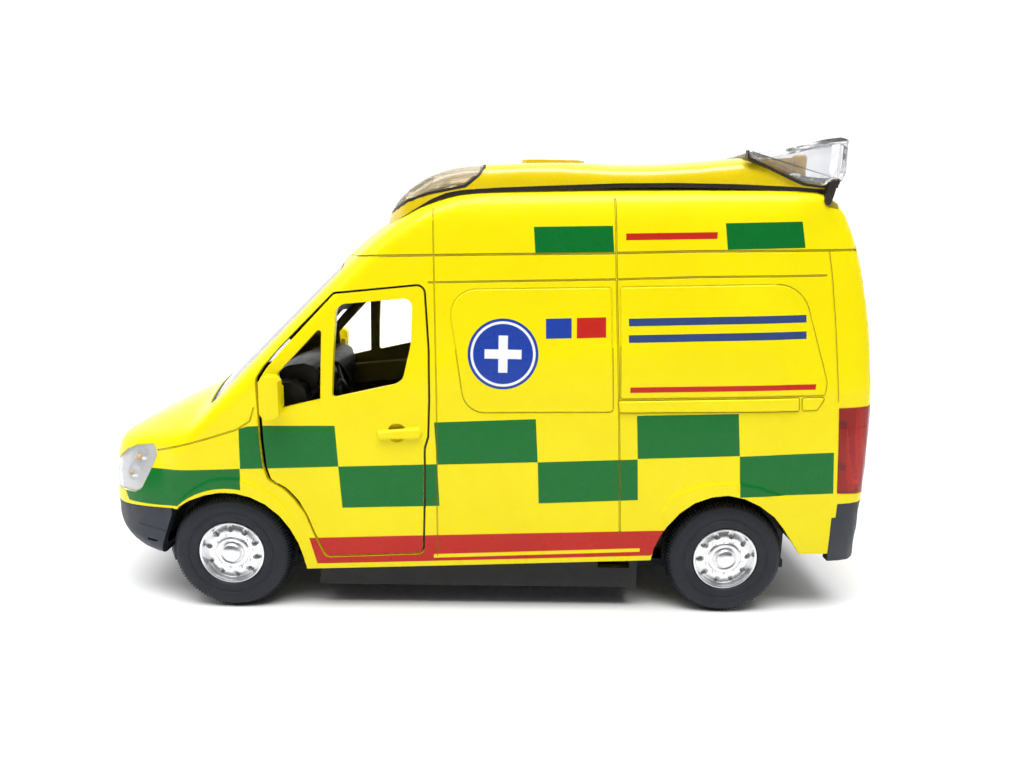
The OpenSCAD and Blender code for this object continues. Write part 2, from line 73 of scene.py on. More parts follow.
def hull_d(pl, u, v):
    """Distance outside (+) or inside (-) a convex outline."""
    n, c = pl
    out = np.full(u.shape, -1e9)
    for (a, b), k in zip(n, c):
        np.maximum(out, a * u + b * v - k, out=out)
    return out


def rmax(a, b, r):
    """Intersection of two forms with a rounded edge of radius r."""
    return np.hypot(np.maximum(a + r, 0), np.maximum(b + r, 0)) - r + np.minimum(np.maximum(a, b) + r, 0)


def smin(a, b, k):
    h = np.clip(0.5 + 0.5 * (b - a) / k, 0, 1)
    return b * (1 - h) + a * h - k * h * (1 - h)


def smooth(a, b, x):
    t = np.clip((x - a) / (b - a), 0, 1)
    return t * t * (3 - 2 * t)


# ---------------------------------------------------------------- body form
HW = 30.45
RK = math.radians(2)
CR, SR = math.cos(RK), math.sin(RK)

cab_rear = [(64, -20), (64, 60), (28, 88.05), (-20, 88.05), (-45, 88.2), (-62, 88.0), (-66.6, 87.1),
            (-69.9, 84.4), (-72.1, 80.5), (-73.9, 75.8), (-75.3, 71), (-76.7, 65), (-78.0, 58), (-79.0, 51),
            (-79.8, 44), (-80.2, 37), (-80.35, 30), (-80.35, 20), (-80.35, -20)]
# windscreen and front of the roof, as seen in the middle plane
cab_front = [(78.0, 25.0), (58.5, 44.2), (43.2, 59.3), (28.2, 74.1), (20.6, 80.0), (14, 84.0), (7.5, 86.8),
             (0, 88.2), (-12, 88.6), (-140, 88.9), (-140, -40), (78, -40)]
nose_side = [(-60, 2), (50, 8.4), (60, 9.2), (66.4, 10.1), (72, 11.2), (76.2, 13), (79.2, 16.5), (80.2, 19.5), (80.4, 22), (80.3, 25), (79.9, 28.5),
             (79.15, 31.2), (77.7, 33.7), (75.5, 35.6), (72, 37.5), (67, 39.9), (62, 42.3), (57, 44.9),
             (50, 48.0), (40, 52.5), (-60, 60)]
plan_half = [(80.35, -8), (80.35, 0), (80.15, 8), (79.4, 14), (78.2, 18.8), (76.4, 22.2), (73.4, 25.2), (69, 27.4),
             (62, 28.95), (52, 30.05), (42, 30.4), (30, 30.45), (-66, 30.45), (-73, 30.15), (-76.8, 29.3),
             (-78.8, 27.95), (-79.95, 25.2), (-80.35, 20), (-80.35, 0), (-80.35, -8)]
cross_half = [(0, -10), (26, -10), (28.6, 0), (29.4, 6), (30.05, 14), (30.4, 24), (30.4, 34), (30.1, 46), (29.25, 55),
              (28.1, 66), (27.4, 73), (26.85, 78), (26.2, 81.4), (24.9, 84.3), (22.6, 86.4), (19, 87.6),
              (13, 88.35), (0, 88.8), (-8, 88.9), (-8, -10)]
hood_half = [(-8, -60), (33, -60), (31.6, -8), (30.3, -2.2), (29.2, 0.5), (27.2, 2.6), (23.5, 4.3), (17, 6.1),
             (9, 7.3), (0, 7.9), (-8, 8.2)]
P_REAR = planes(chaikin(cab_rear[2:-1], 2, False).tolist() + [(-80.35, -20), (64, -20), (64, 60)])
P_FRONT = planes([(78, 25), (58.5, 44.2)] + chaikin(cab_front[2:10], 2, False).tolist() + [(-140, -40), (78, -40)])
P_NOSE = planes(chaikin(nose_side[1:-1], 2, False).tolist() + [(-60, 60), (-60, 2)])
_pl = chaikin(plan_half, 2, False)
P_PLAN = planes(_pl)
P_CROSS = planes(chaikin(cross_half[1:-1], 2, False).tolist() + [(-8, -10)])
P_HOOD = planes(chaikin(hood_half[1:], 2, False).tolist() + [(-8, -60)])
CROSS_Z = np.array([q[1] for q in cross_half[2:12]], float)
CROSS_Y = np.array([min(q[0], HW) for q in cross_half[2:12]], float)
HS = math.radians(22)
WS_X = 0.0077


def F(p):
    """The body's outer form: below 0 inside, in millimetres."""
    x, y, z = p[..., 0], np.abs(p[..., 1]), p[..., 2]
    xb, zb = x * CR - z * SR, x * SR + z * CR
    cross = hull_d(P_CROSS, y, zb)
    lean = np.minimum(HW - np.interp(zb, CROSS_Z, CROSS_Y), 4.2)
    plan = hull_d(P_PLAN, x, y + (1.35 * lean + 0.25) * smooth(-50, -68, x) + 2.6 * smooth(24, 35, z) * smooth(58, 70, x))
    rear = hull_d(P_REAR, x, z)
    ws = hull_d(P_FRONT, x + WS_X * y * y * smooth(-30, 10, x), z)
    nose = hull_d(P_NOSE, x, z)
    hx, hz = x - 50, z - 39
    hood = hull_d(P_HOOD, y, hx * math.sin(HS) + hz * math.cos(HS))
    side = rmax(cross, plan, 1.5)
    cab = rmax(rmax(side, rear, 2.2), ws, 2.6)
    front = rmax(rmax(side, nose, 2.0 + 2.5 * smooth(20, 13, z)), hood, 1.6)
    return smin(cab, front, 0.9)


def grad(p, h=0.5):
    g = np.empty(p.shape)
    for i in range(3):
        d = np.zeros(3)
        d[i] = h
        g[..., i] = F(p + d) - F(p - d)
    return g / np.maximum(np.linalg.norm(g, axis=-1, keepdims=True), 1e-9)


def solve(o, d, level=0.0, t0=4.0, t1=130.0, func=None):
    """Distance along each ray o + t d to the level surface."""
    f = func or F
    lo, hi = np.full(len(o), t0), np.full(len(o), t1)
    flo, fhi = f(o + lo[:, None] * d) - level, f(o + hi[:, None] * d) - level
    for i in range(12):
        w = np.clip(-flo / np.where(np.abs(fhi - flo) < 1e-9, 1, fhi - flo), 0.02, 0.98)
        if i % 3 == 2:
            w = np.full(len(o), 0.5)
        t = lo + w * (hi - lo)
        ft = f(o + t[:, None] * d) - level
        neg = ft < 0
        lo, flo = np.where(neg, t, lo), np.where(neg, ft, flo)
        hi, fhi = np.where(neg, hi, t), np.where(neg, fhi, ft)
    return np.where(np.abs(flo) < np.abs(fhi), lo, hi)


def side_y(x, z, level=0.0):
    """Half width of the body at side-view points."""
    x, z = np.atleast_1d(np.asarray(x, float)), np.atleast_1d(np.asarray(z, float))
    o = np.stack([x, np.zeros(len(x)), z], 1)
    d = np.tile([0.0, 1.0, 0.0], (len(x), 1))
    return solve(o, d, level, 0.5, 40)


# ---------------------------------------------------------------- mesh helpers
def mesh_object(name, verts, faces):
    me = bpy.data.meshes.new(name)
    me.from_pydata([tuple(v) for v in np.asarray(verts) * MM], [], [tuple(f) for f in faces])
    me.update()
    ob = bpy.data.objects.new(name, me)
    bpy.context.scene.collection.objects.link(ob)
    return ob


def clean(ob, dist=0.0004):
    bm = bmesh.new()
    bm.from_mesh(ob.data)
    bmesh.ops.remove_doubles(bm, verts=bm.verts, dist=dist * MM)
    bmesh.ops.dissolve_degenerate(bm, edges=bm.edges, dist=dist * MM)
    bmesh.ops.recalc_face_normals(bm, faces=bm.faces)
    bm.to_mesh(ob.data)
    bm.free()
    return ob


def drop(ob):
    me = ob.data
    bpy.data.objects.remove(ob)
    if me.users == 0:
        bpy.data.meshes.remove(me)


def apply_mod(ob):
    dg = bpy.context.evaluated_depsgraph_get()
    me = bpy.data.meshes.new_from_object(ob.evaluated_get(dg), depsgraph=dg)
    ob.modifiers.clear()
    old = ob.data
    ob.data = me
    if old.users == 0:
        bpy.data.meshes.remove(old)
    return ob


def boolean(ob, cutter, op="DIFFERENCE", keep=False):
    m = ob.modifiers.new("b", "BOOLEAN")
    m.operation = op
    m.solver = "MANIFOLD"
    m.object = cutter
    apply_mod(ob)
    if not keep:
        drop(cutter)
    return ob


def ray_solid(name, func, axis, nx, nphi, level=0.0, ends=10):
    """A closed mesh of the level surface, found along rays from a line of centres.
    axis: centres from the rear end to the front end."""
    axis = np.asarray(axis, float)
    seg = np.linalg.norm(np.diff(axis, axis=0), axis=1)
    s = np.concatenate([[0], np.cumsum(seg)])
    t = np.linspace(0, s[-1], nx)
    cen = np.stack([np.interp(t, s, axis[:, i]) for i in range(3)], 1)
    phi = np.linspace(0, 2 * math.pi, nphi, endpoint=False) + 1e-3
    ring = np.stack([np.zeros(nphi), np.cos(phi), np.sin(phi)], 1)
    o, d, rows = [], [], 0
    for j in range(1, ends):
        a = math.pi / 2 * j / ends
        o.append(np.tile(cen[0], (nphi, 1)))
        d.append(ring * math.sin(a) + np.array([-math.cos(a), 0, 0]))
    for c in cen:
        o.append(np.tile(c, (nphi, 1)))
        d.append(ring)
    for j in range(ends - 1, 0, -1):
        a = math.pi / 2 * j / ends
        o.append(np.tile(cen[-1], (nphi, 1)))
        d.append(ring * math.sin(a) + np.array([math.cos(a), 0, 0]))
    rows = len(o)
    o, d = np.vstack(o + [cen[:1], cen[-1:]]), np.vstack(d + [[[-1.0, 0, 0]], [[1.0, 0, 0]]])
    v = o + solve(o, d, level, 0.2, 140, func)[:, None] * d
    faces = []
    for i in range(rows - 1):
        for k in range(nphi):
            k2 = (k + 1) % nphi
            faces.append((i * nphi + k, i * nphi + k2, (i + 1) * nphi + k2, (i + 1) * nphi + k))
    a, b = rows * nphi, rows * nphi + 1
    for k in range(nphi):
        k2 = (k + 1) % nphi
        faces.append((a, k2, k))
        faces.append((b, (rows - 1) * nphi + k, (rows - 1) * nphi + k2))
    ob = mesh_object(name, v, faces)
    return clean(ob)


BODY_AXIS = [(-58, 0, 45), (22, 0, 43), (44, 0, 33), (62, 0, 26)]


_made = {}


def made_once(key, name, build):
    """Builds a form once and hands out copies of its mesh."""
    if key not in _made:
        ob = build()
        _made[key] = ob.data.copy()
        ob.name = name
        return ob
    ob = bpy.data.objects.new(name, _made[key].copy())
    bpy.context.scene.collection.objects.link(ob)
    return ob


def body_solid(name, level=0.0, nx=110, nphi=220, ends=34):
    return made_once(("body", level, nx, nphi, ends), name,
                     lambda: ray_solid(name, F, BODY_AXIS, nx, nphi, level, ends))


def prism(name, pts, axis, lo, hi):
    """Extrudes an outline. axis y: (x, z); axis x: (y, z); axis z: (x, y)."""
    n = len(pts)
    v = []
    for h in (lo, hi):
        for a, b in pts:
            v.append({"y": (a, h, b), "x": (h, a, b), "z": (a, b, h)}[axis])
    f = [tuple(range(n - 1, -1, -1)), tuple(range(n, 2 * n))]
    f += [(i, (i + 1) % n, n + (i + 1) % n, n + i) for i in range(n)]
    ob = mesh_object(name, v, f)
    bm = bmesh.new()
    bm.from_mesh(ob.data)
    bmesh.ops.triangulate(bm, faces=[g for g in bm.faces if len(g.verts) > 4])
    bmesh.ops.recalc_face_normals(bm, faces=bm.faces)
    bm.to_mesh(ob.data)
    bm.free()
    return ob


def offset_poly(pts, d):
    """Moves the edges of an outline outwards by d."""
    p = np.array(pts, float)
    area = 0.5 * np.sum(p[:, 0] * np.roll(p[:, 1], -1) - np.roll(p[:, 0], -1) * p[:, 1])
    s = 1 if area > 0 else -1
    a, c = np.roll(p, 1, 0), np.roll(p, -1, 0)
    u, w = p - a, c - p
    u /= np.maximum(np.linalg.norm(u, axis=1), 1e-9)[:, None]
    w /= np.maximum(np.linalg.norm(w, axis=1), 1e-9)[:, None]
    n = s * np.stack([u[:, 1], -u[:, 0]], 1)
    m = s * np.stack([w[:, 1], -w[:, 0]], 1)
    b = n + m
    b /= np.maximum((b * n).sum(1), 0.4)[:, None]
    return p + b * d


def rounded(pts, r, seg=6):
    """Rounds the corners of an outline; r is one radius or a list of them."""
    p = [Vector(q) for q in pts]
    n = len(p)
    rr = [r] * n if not hasattr(r, "__len__") else list(r)
    out = []
    for i in range(n):
        a, b, c = p[i - 1], p[i], p[(i + 1) % n]
        u, w = (a - b), (c - b)
        lu, lw = u.length, w.length
        u, w = u / lu, w / lw
        ang = math.acos(max(-1, min(1, u.dot(w))))
        if rr[i] < 0.01 or ang > math.pi - 0.02:
            out.append(tuple(b))
            continue
        t = min(rr[i] / math.tan(ang / 2), lu * 0.49, lw * 0.49)
        rad = t * math.tan(ang / 2)
        cen = b + (u + w).normalized() * (rad / math.sin(ang / 2))
        s, e = b + u * t - cen, b + w * t - cen
        a0 = math.atan2(s.y, s.x)
        da = math.atan2(e.y, e.x) - a0
        da = (da + math.pi) % (2 * math.pi) - math.pi
        k = max(2, int(seg * abs(da) / 1.57 + 1))
        for j in range(k + 1):
            q = a0 + da * j / k
            out.append((cen.x + rad * math.cos(q), cen.y + rad * math.sin(q)))
    return out


# ---------------------------------------------------------------- outlines
door_line = rounded([(11.5, 13.2), (31.4, 12.2), (33.7, 17.4), (35.1, 21.3), (37, 24.5), (39.1, 26.8), (42.2, 28.6),
                     (43.0, 31.5), (43.4, 36.9), (43.8, 49.0), (42.4, 51.2), (39.2, 55), (28.9, 65.9), (11.3, 67.9),
                     (10.4, 55.3), (10.25, 45.5), (10.45, 38), (11.15, 35.6), (11.2, 24.9)],
                    [1.2, 1.2, 3, 6, 6, 4, 1.6, 4, 4, 2, 1.5, 3, 1.2, 1.6, 4, 4, 1, 1, 4])
main_window = rounded([(13.6, 65.3), (13.9, 56.2), (15.6, 48.7), (29.3, 45.55), (29.0, 53), (28.6, 59), (28.3, 63.75)],
                      [1.6, 9, 2.8, 0.5, 9, 9, 2.0])
quarter_window = rounded([(31.6, 45.2), (39.6, 43.2), (39.9, 50.2), (31.2, 59.6)], [0.3, 0.3, 0.8, 0.5])
head_line = rounded([(65.8, 32.2), (67.2, 29.2), (69.2, 25.3), (70.9, 24.35), (86, 23.4), (86, 24.2),
                     (76.8, 29.5), (73.6, 32.3), (70.9, 33.6), (66.2, 34.5)], [0.8, 2, 1.4, 1, 0, 0, 3, 2, 2, 0.9])
tail_line = [(-84, 26.8), (-72.55, 27.2), (-71.15, 45.0), (-84, 45.6)]
sill_line = [(-92, -30), (92, -30), (92, 9.2), (35.5, 9.3), (-35.4, 12.2), (-66.2, 13.7), (-92, 13.9)]
bumper_line = [(60.5, -30), (92, -30), (92, 20.9), (75, 21.2), (70, 21.6), (61.6, 21.85), (60.5, 21.9)]
front_arch = [(60.9, 22.4), (58.7, 23.8), (55.4, 25.1), (52.3, 25.75), (49.2, 25.7), (46.2, 24.95), (43.3, 23.5),
              (40.4, 21.0), (38.4, 18.2), (36.9, 15.2), (36.0, 12.2), (35.5, 9.3), (35.4, 4), (66, 4), (66, 14)]
rear_arch = [(-35.3, 12.2), (-35.8, 14.8), (-36.9, 17.5), (-38.4, 20.1), (-40.6, 22.8), (-43.5, 25.0), (-46.9, 26.3),
             (-50.2, 26.7), (-53.6, 26.0), (-56.8, 24.5), (-60.2, 22.0), (-62.5, 19.2), (-64.5, 16.3), (-66.3, 13.7),
             (-66.6, 4), (-35, 4)]
GAP = 0.21
hinge_a = math.atan2(5.7, 54)
RD_Y, RD_LO, RD_HI = 24.6, 19.4, 72.6


def ws_matrix():
    """Frame of the windscreen: local x runs up the glass, y across, z into the body."""
    a = math.radians(224.5)
    return Matrix.Translation((58.5 * MM, 0, 44.2 * MM)) @ Matrix.Rotation(a, 4, "Y")


def ws_prism(name, pts, lo, hi):
    ob = prism(name, pts, "z", lo, hi)
    ob.data.transform(ws_matrix())
    return ob


ws_line = rounded([(1.4, -25.6), (20, -24.6), (40.3, -22.3), (40.3, 22.3), (20, 24.6), (1.4, 25.6)],
                  [1.5, 20, 2.2, 2.2, 20, 1.5])


def densify(pts, step=1.0, closed=True):
    p = [np.array(q, float) for q in pts]
    out = []
    n = len(p)
    for i in range(n if closed else n - 1):
        a, b = p[i], p[(i + 1) % n]
        k = max(1, int(math.ceil(np.linalg.norm(b - a) / step)))
        out += [a + (b - a) * j / k for j in range(k)]
    if not closed:
        out.append(p[-1])
    return np.array(out)


def tube(name, path, r, sides=8, closed=False):
    """A closed round tube along a path in space, used to cut engraved lines."""
    p = np.asarray(path, float)
    n = len(p)
    t = np.gradient(p, axis=0) if not closed else np.roll(p, -1, 0) - np.roll(p, 1, 0)
    t /= np.linalg.norm(t, axis=1)[:, None]
    ref = grad(p)
    u = ref - t * (ref * t).sum(1)[:, None]
    u /= np.linalg.norm(u, axis=1)[:, None]
    w = np.cross(t, u)
    rr = np.broadcast_to(np.asarray(r, float), (n,))
    v = []
    for i in range(n):
        for k in range(sides):
            a = 2 * math.pi * (k + 0.5) / sides
            v.append(p[i] + rr[i] * (u[i] * math.cos(a) + w[i] * math.sin(a)))
    f = []
    for i in range(n if closed else n - 1):
        j = (i + 1) % n
        for k in range(sides):
            k2 = (k + 1) % sides
            f.append((i * sides + k, i * sides + k2, j * sides + k2, j * sides + k))
    if not closed:
        f.append(tuple(range(sides - 1, -1, -1)))
        f.append(tuple((n - 1) * sides + k for k in range(sides)))
    ob = mesh_object(name, v, f)
    bm = bmesh.new()
    bm.from_mesh(ob.data)
    bmesh.ops.recalc_face_normals(bm, faces=bm.faces)
    bm.to_mesh(ob.data)
    bm.free()
    return ob


def on_side(pts, side=1, out=0.0, step=1.0, closed=False):
    """Side-view points carried onto the body's skin."""
    q = densify(pts, step, closed)
    y = side_y(q[:, 0], q[:, 1])
    p = np.stack([q[:, 0], y, q[:, 1]], 1)
    p = p + grad(p) * out
    p[:, 1] *= side
    return p


def join_solids(obs, name):
    """Several separate closed meshes as one object."""
    v, f, o = [], [], 0
    for ob in obs:
        v += [tuple(x.co) for x in ob.data.vertices]
        f += [tuple(i + o for i in p.vertices) for p in ob.data.polygons]
        o += len(ob.data.vertices)
        drop(ob)
    me = bpy.data.meshes.new(name)
    me.from_pydata(v, [], f)
    me.update()
    ob = bpy.data.objects.new(name, me)
    bpy.context.scene.collection.objects.link(ob)
    return ob


def on_skin(ab, way="side"):
    """Points of the body's skin and its normals at outline points.
    side: (x, z); top: (x, y); rear and front: (y, z)."""
    ab = np.asarray(ab, float)
    n = len(ab)
    if way == "side":
        o, d, t0, t1 = np.stack([ab[:, 0], np.zeros(n), ab[:, 1]], 1), (0, 1, 0), 0.5, 40
    elif way == "top":
        o, d, t0, t1 = np.stack([ab[:, 0], ab[:, 1], np.full(n, 30.0)], 1), (0, 0, 1), 0.5, 70
    elif way == "rear":
        o, d, t0, t1 = np.stack([np.full(n, -55.0), ab[:, 0], ab[:, 1]], 1), (-1, 0, 0), 0.5, 40
    else:
        o, d, t0, t1 = np.stack([np.full(n, 50.0), ab[:, 0], ab[:, 1]], 1), (1, 0, 0), 0.5, 40
    d = np.tile(np.array(d, float), (n, 1))
    p = o + solve(o, d, 0.0, t0, t1)[:, None] * d
    return p, grad(p)


def fill2d(outline, step, rings=()):
    """Triangulates an outline with inner rings at the given insets and a grid of points."""
    rim = densify(outline, step, True)
    pts = [rim] + [densify(offset_poly(outline, -r), step, True) for r in rings]
    ring = np.vstack(pts)
    x0, z0 = rim.min(0)
    x1, z1 = rim.max(0)
    gx, gz = np.meshgrid(np.arange(x0 + 0.7, x1, step * 1.7), np.arange(z0 + 0.7, z1, step * 1.7))
    g = np.stack([gx.ravel(), gz.ravel()], 1)
    d = np.min(np.hypot(g[:, None, 0] - ring[None, :, 0], g[:, None, 1] - ring[None, :, 1]), 1)
    allp = np.vstack([ring, g[d > step * 0.7]])
    n = len(rim)
    o = delaunay_2d_cdt([Vector(q) for q in allp], [(i, (i + 1) % n) for i in range(n)], [list(range(n))], 1, 1e-6)
    v = np.array([tuple(q) for q in o[0]])
    tri = [tuple(t) for t in o[2]]
    edges = set()
    for t in tri:
        edges |= {(t[0], t[1]), (t[1], t[2]), (t[2], t[0])}
    border = [(a, b) for a, b in edges if (b, a) not in edges]
    near = np.min(np.hypot(v[:, None, 0] - rim[None, :, 0], v[:, None, 1] - rim[None, :, 1]), 1)
    return v, tri, border, near


def slab(name, outline, h0, h1, far, ramp=0.8, step=1.2, flip=1, way="side"):
    """A closed slab along the skin. One face lies at h0 mm out of the skin at the outline and
    rises to h1 over the ramp; the other lies at `far`."""
    v, tri, border, near = fill2d(outline, step, (ramp * 0.35, ramp * 0.7, ramp) if ramp > 0 else ())
    h = h0 + (h1 - h0) * np.sin(np.clip(near / max(ramp, 1e-6), 0, 1) * math.pi / 2)
    p, nrm = on_skin(v, way)
    m = len(v)
    allv = np.vstack([p + nrm * h[:, None], p + nrm * far])
    f = [t for t in tri] + [tuple(i + m for i in reversed(t)) for t in tri]
    f += [(b, a, a + m, b + m) for a, b in border]
    allv[:, 1] *= flip
    ob = mesh_object(name, allv, f)
    bm = bmesh.new()
    bm.from_mesh(ob.data)
    bmesh.ops.recalc_face_normals(bm, faces=bm.faces)
    bm.to_mesh(ob.data)
    bm.free()
    return ob


def shade(ob, skin_mat=0, other_mat=None, cos_lim=0.965, tol=0.09, angle=35, dark=None):
    """Smooth shading; faces that follow the body's form take its true normals."""
    me = ob.data
    nf = len(me.polygons)
    me.shade_smooth()
    fn = np.empty(nf * 3)
    me.polygons.foreach_get("normal", fn)
    fn = fn.reshape(-1, 3)
    me.set_sharp_from_angle(angle=math.radians(angle))
    co = np.empty(len(me.vertices) * 3)
    me.vertices.foreach_get("co", co)
    co = co.reshape(-1, 3) / MM
    gv = grad(co)
    fv = F(co)
    ls = np.empty(nf, int)
    lt = np.empty(nf, int)
    me.polygons.foreach_get("loop_start", ls)
    me.polygons.foreach_get("loop_total", lt)
    li = np.empty(len(me.loops), int)
    me.loops.foreach_get("vertex_index", li)
    face_of = np.repeat(np.arange(nf), lt)
    base = np.array([tuple(c.vector) for c in me.corner_normals])
    g = gv[li]
    dot = (g * fn[face_of]).sum(1)
    near = np.abs(dot) > cos_lim
    out = np.where(near[:, None], g * np.sign(dot)[:, None], base)
    if other_mat is not None:
        fc = np.add.reduceat(fv[li], ls) / lt
        flat = np.add.reduceat(np.abs(dot), ls) / lt
        # faces deep inside the body take other_mat, a dark olive of painted shade; opening edges take index 2, plain
        # yellow
        idx = np.where((fc > -tol) | ((fc > -0.3) & (flat > 0.945)), skin_mat, np.where((fc < -0.3) & (fc > -1.25), 2, other_mat))
        cen = np.add.reduceat(co[li], ls) / lt[:, None]
        # walls of the engraved lines on the sides take index 3, an olive of painted shade
        idx = np.where((idx == other_mat) & (fc > -0.31), np.where(np.abs(cen[:, 1]) > 21, 3, skin_mat), idx)
        if dark is not None:
            hit = (cen[:, 0] > dark[0]) & (cen[:, 0] < dark[1]) & (cen[:, 2] > dark[2]) & (cen[:, 2] < dark[3]) & (fc < -0.16) & (fc > -2.9)
            idx = np.where(hit, 2, idx)
        idx = idx.astype(np.int32)
        me.polygons.foreach_set("material_index", idx)
    me.normals_split_custom_set([tuple(v) for v in out])
    me.update()
    return ob


def duplicate(ob, name, flip=False):
    me = ob.data.copy()
    me.name = name
    o = bpy.data.objects.new(name, me)
    bpy.context.scene.collection.objects.link(o)
    if flip:
        me.transform(Matrix.Diagonal((1, -1, 1, 1)))
        me.flip_normals()
    return o


def rename(ob, name):
    ob.name = name
    ob.data.name = name
    return ob


# ---------------------------------------------------------------- body shell
def line_cuts(groups, side):
    obs = []
    for k, (pts, r, closed) in enumerate(groups):
        obs.append(tube("line%d" % k, on_side(pts, side, 0.0, 1.0, closed), r, 8, closed))
    return obs


seam = [(27.4, 72.75), (21.7, 73.1), (9.3, 73.5), (-3.2, 73.9), (-24.4, 74.5), (-41.7, 75.2), (-66.5, 75.8), (-76.5, 76.1)]
band = [(10.6, 68.3), (-24.5, 69.5), (-41.9, 70.3), (-67.2, 71.0)]
groove_mid = [(-25.2, 84.9), (-25.6, 75.1), (-25.9, 68.5), (-27.1, 46.1), (-28.2, 25.4), (-28.6, 18.0)]
groove_b = [(9.8, 82.4), (9.4, 67.8), (8.8, 45.5), (8.7, 24.9), (8.6, 12.6)]
pillar_line = [(-67.4, 75.6), (-68.2, 71), (-69.3, 62), (-70.3, 52), (-70.9, 46.2)]
hood_line = [(65.6, 33.35), (60.0, 35.0), (53.6, 37.0), (48.3, 38.8), (45.6, 40.6), (44.7, 43.4)]
panel_left = rounded([(3.2, 43.05), (7.0, 67.0), (-24.9, 68.05), (-26.1, 43.65)], [4.5, 5, 0.8, 0.8], 8)
panel_right = rounded([(-27.4, 46.3), (-26.6, 68.1), (-62.3, 69.35), (-68.4, 50.0), (-68.0, 47.55)], [0.5, 0.6, 7, 9, 0.6], 8)
rail_a = rounded([(-27.3, 43.55), (-26.9, 45.95), (-62.9, 47.05), (-63.1, 44.35)], 0.35)
rail_b = rounded([(-63.7, 44.4), (-63.5, 47.05), (-68.2, 47.2), (-67.6, 46.0), (-66.7, 44.55)], 0.5)
flare_f = rounded([(62.4, 21.9), (60.8, 24.2), (57.6, 26.8), (54.4, 28.6), (51.4, 29.15), (47.6, 29.1), (44.6, 27.8),
                   (41.0, 25.4), (38.0, 21.6), (36.4, 17), (35.3, 12), (35.2, 8), (50, 6), (64, 12)],
                  [1, 3, 5, 5, 5, 5, 5, 5, 5, 5, 3, 1, 1, 1])
flare_r = rounded([(-36.4, 22.9), (-38.4, 26.6), (-41.8, 28.3), (-46.2, 29.6), (-51.3, 29.9), (-56.4, 28.8), (-62.9, 26.6),
                   (-65.0, 22.5), (-66.6, 17), (-67.2, 13.2), (-60, 8), (-50, 6), (-40, 14)],
                  [0.8, 1.5, 5, 5, 5, 5, 2.5, 5, 5, 1, 1, 1, 1])

shell = body_solid("body_shell_skin")
raised, lines = [], []
for s in (1, -1):
    for k, (o, h, r) in enumerate([(panel_left, 0.16, 0.4), (panel_right, 0.16, 0.4), (rail_a, 0.42, 0.3),
                                   (rail_b, 0.2, 0.3), (flare_f, 0.30, 1.0), (flare_r, 0.26, 1.1)]):
        raised.append((slab("slab%d" % k, o, -0.06, h, -0.8, r, 1.1, s), "UNION"))
    lines += line_cuts([(seam, 0.26, False), (band, 0.22, False), (groove_mid, 0.2, False), (groove_b, 0.14, False),
                        (pillar_line, 0.15, False), (hood_line, 0.18, False), (panel_left, 0.125, True), (panel_right, 0.125, True),
                        (rail_a, 0.14, True), (rail_b, 0.12, True)], s)
for ob, op in raised:
    boolean(shell, ob, op)
for ob in lines:
    boolean(shell, ob)
boolean(shell, body_solid("inner", -1.6, 60, 120, 20))

# the front doors are cut from the same skin
front_door = duplicate(shell, "front_door_left_skin")
door_piece = [(x - (0.16 if x > 36 else 0), z) for x, z in offset_poly(door_line, -GAP)]
boolean(front_door, prism("cut", door_piece, "y", 20, 40), "INTERSECT")
boolean(front_door, prism("cut", main_window, "y", 20, 40))
boolean(front_door, prism("cut", quarter_window, "y", 20, 40))
rear_door = duplicate(shell, "rear_door_left_skin")

door_hole = [(x + (0.28 if x > 36 else 0), z) for x, z in offset_poly(door_line, GAP)]
cuts = [prism("c", sill_line, "y", -40, 40), prism("c", bumper_line, "y", -40, 40)]
for arch in (front_arch, rear_arch):
    cuts.append(prism("c", arch, "y", -40, 40))
for s in (1, -1):
    lo, hi = (20, 40) if s > 0 else (-40, -20)
    cuts.append(prism("c", door_hole, "y", lo, hi))
    cuts.append(prism("c", head_line, "y", *((17.4, 40) if s > 0 else (-40, -17.4))))
    cuts.append(prism("c", tail_line, "y", *((25.7, 40) if s > 0 else (-40, -25.7))))
    cuts.append(prism("c", [(-84, 8), (-72.4, 8), (-72.1, 21.85), (-72.95, 21.95), (-72.95, 24.9), (-84, 25.3)], "y",
                      *((25.5, 40) if s > 0 else (-40, -25.5))))
cuts.append(prism("c", [(-84, 8), (-74.6, 8), (-74.6, 18.6), (-84, 18.6)], "y", -40, 40))
grille_line = rounded([(-15.5, 23.2), (15.5, 23.2), (17.2, 29.6), (15.8, 30.8), (-15.8, 30.8), (-17.2, 29.6)], 1.2)
cuts.append(prism("c", grille_line, "x", 70, 90))
rear_hole = [(-25.35, 17.4), (25.35, 17.4), (25.35, 71.0), (23.2, 73.0), (-23.2, 73.0), (-25.35, 71.0)]
cuts.append(prism("c", rear_hole, "x", -90, -68))
cuts.append(ws_prism("c", ws_line, -6, 12))
for c in cuts:
    boolean(shell, c)
rear_outline = rounded([(0.25, 19.4), (24.6, 19.4), (24.6, 72.6), (0.25, 72.6)], [0.4, 0.6, 2.2, 0.4])
rear_glass = rounded([(5.2, 51), (20.6, 51), (20.2, 68), (5.2, 68)], [1.2, 1.2, 1.8, 1.6])
boolean(rear_door, prism("c", rear_outline, "x", -90, -68), "INTERSECT")
boolean(rear_door, prism("c", rear_glass, "x", -90, -68))
rename(shell, "body_skin")

shade(shell, 0, 1)

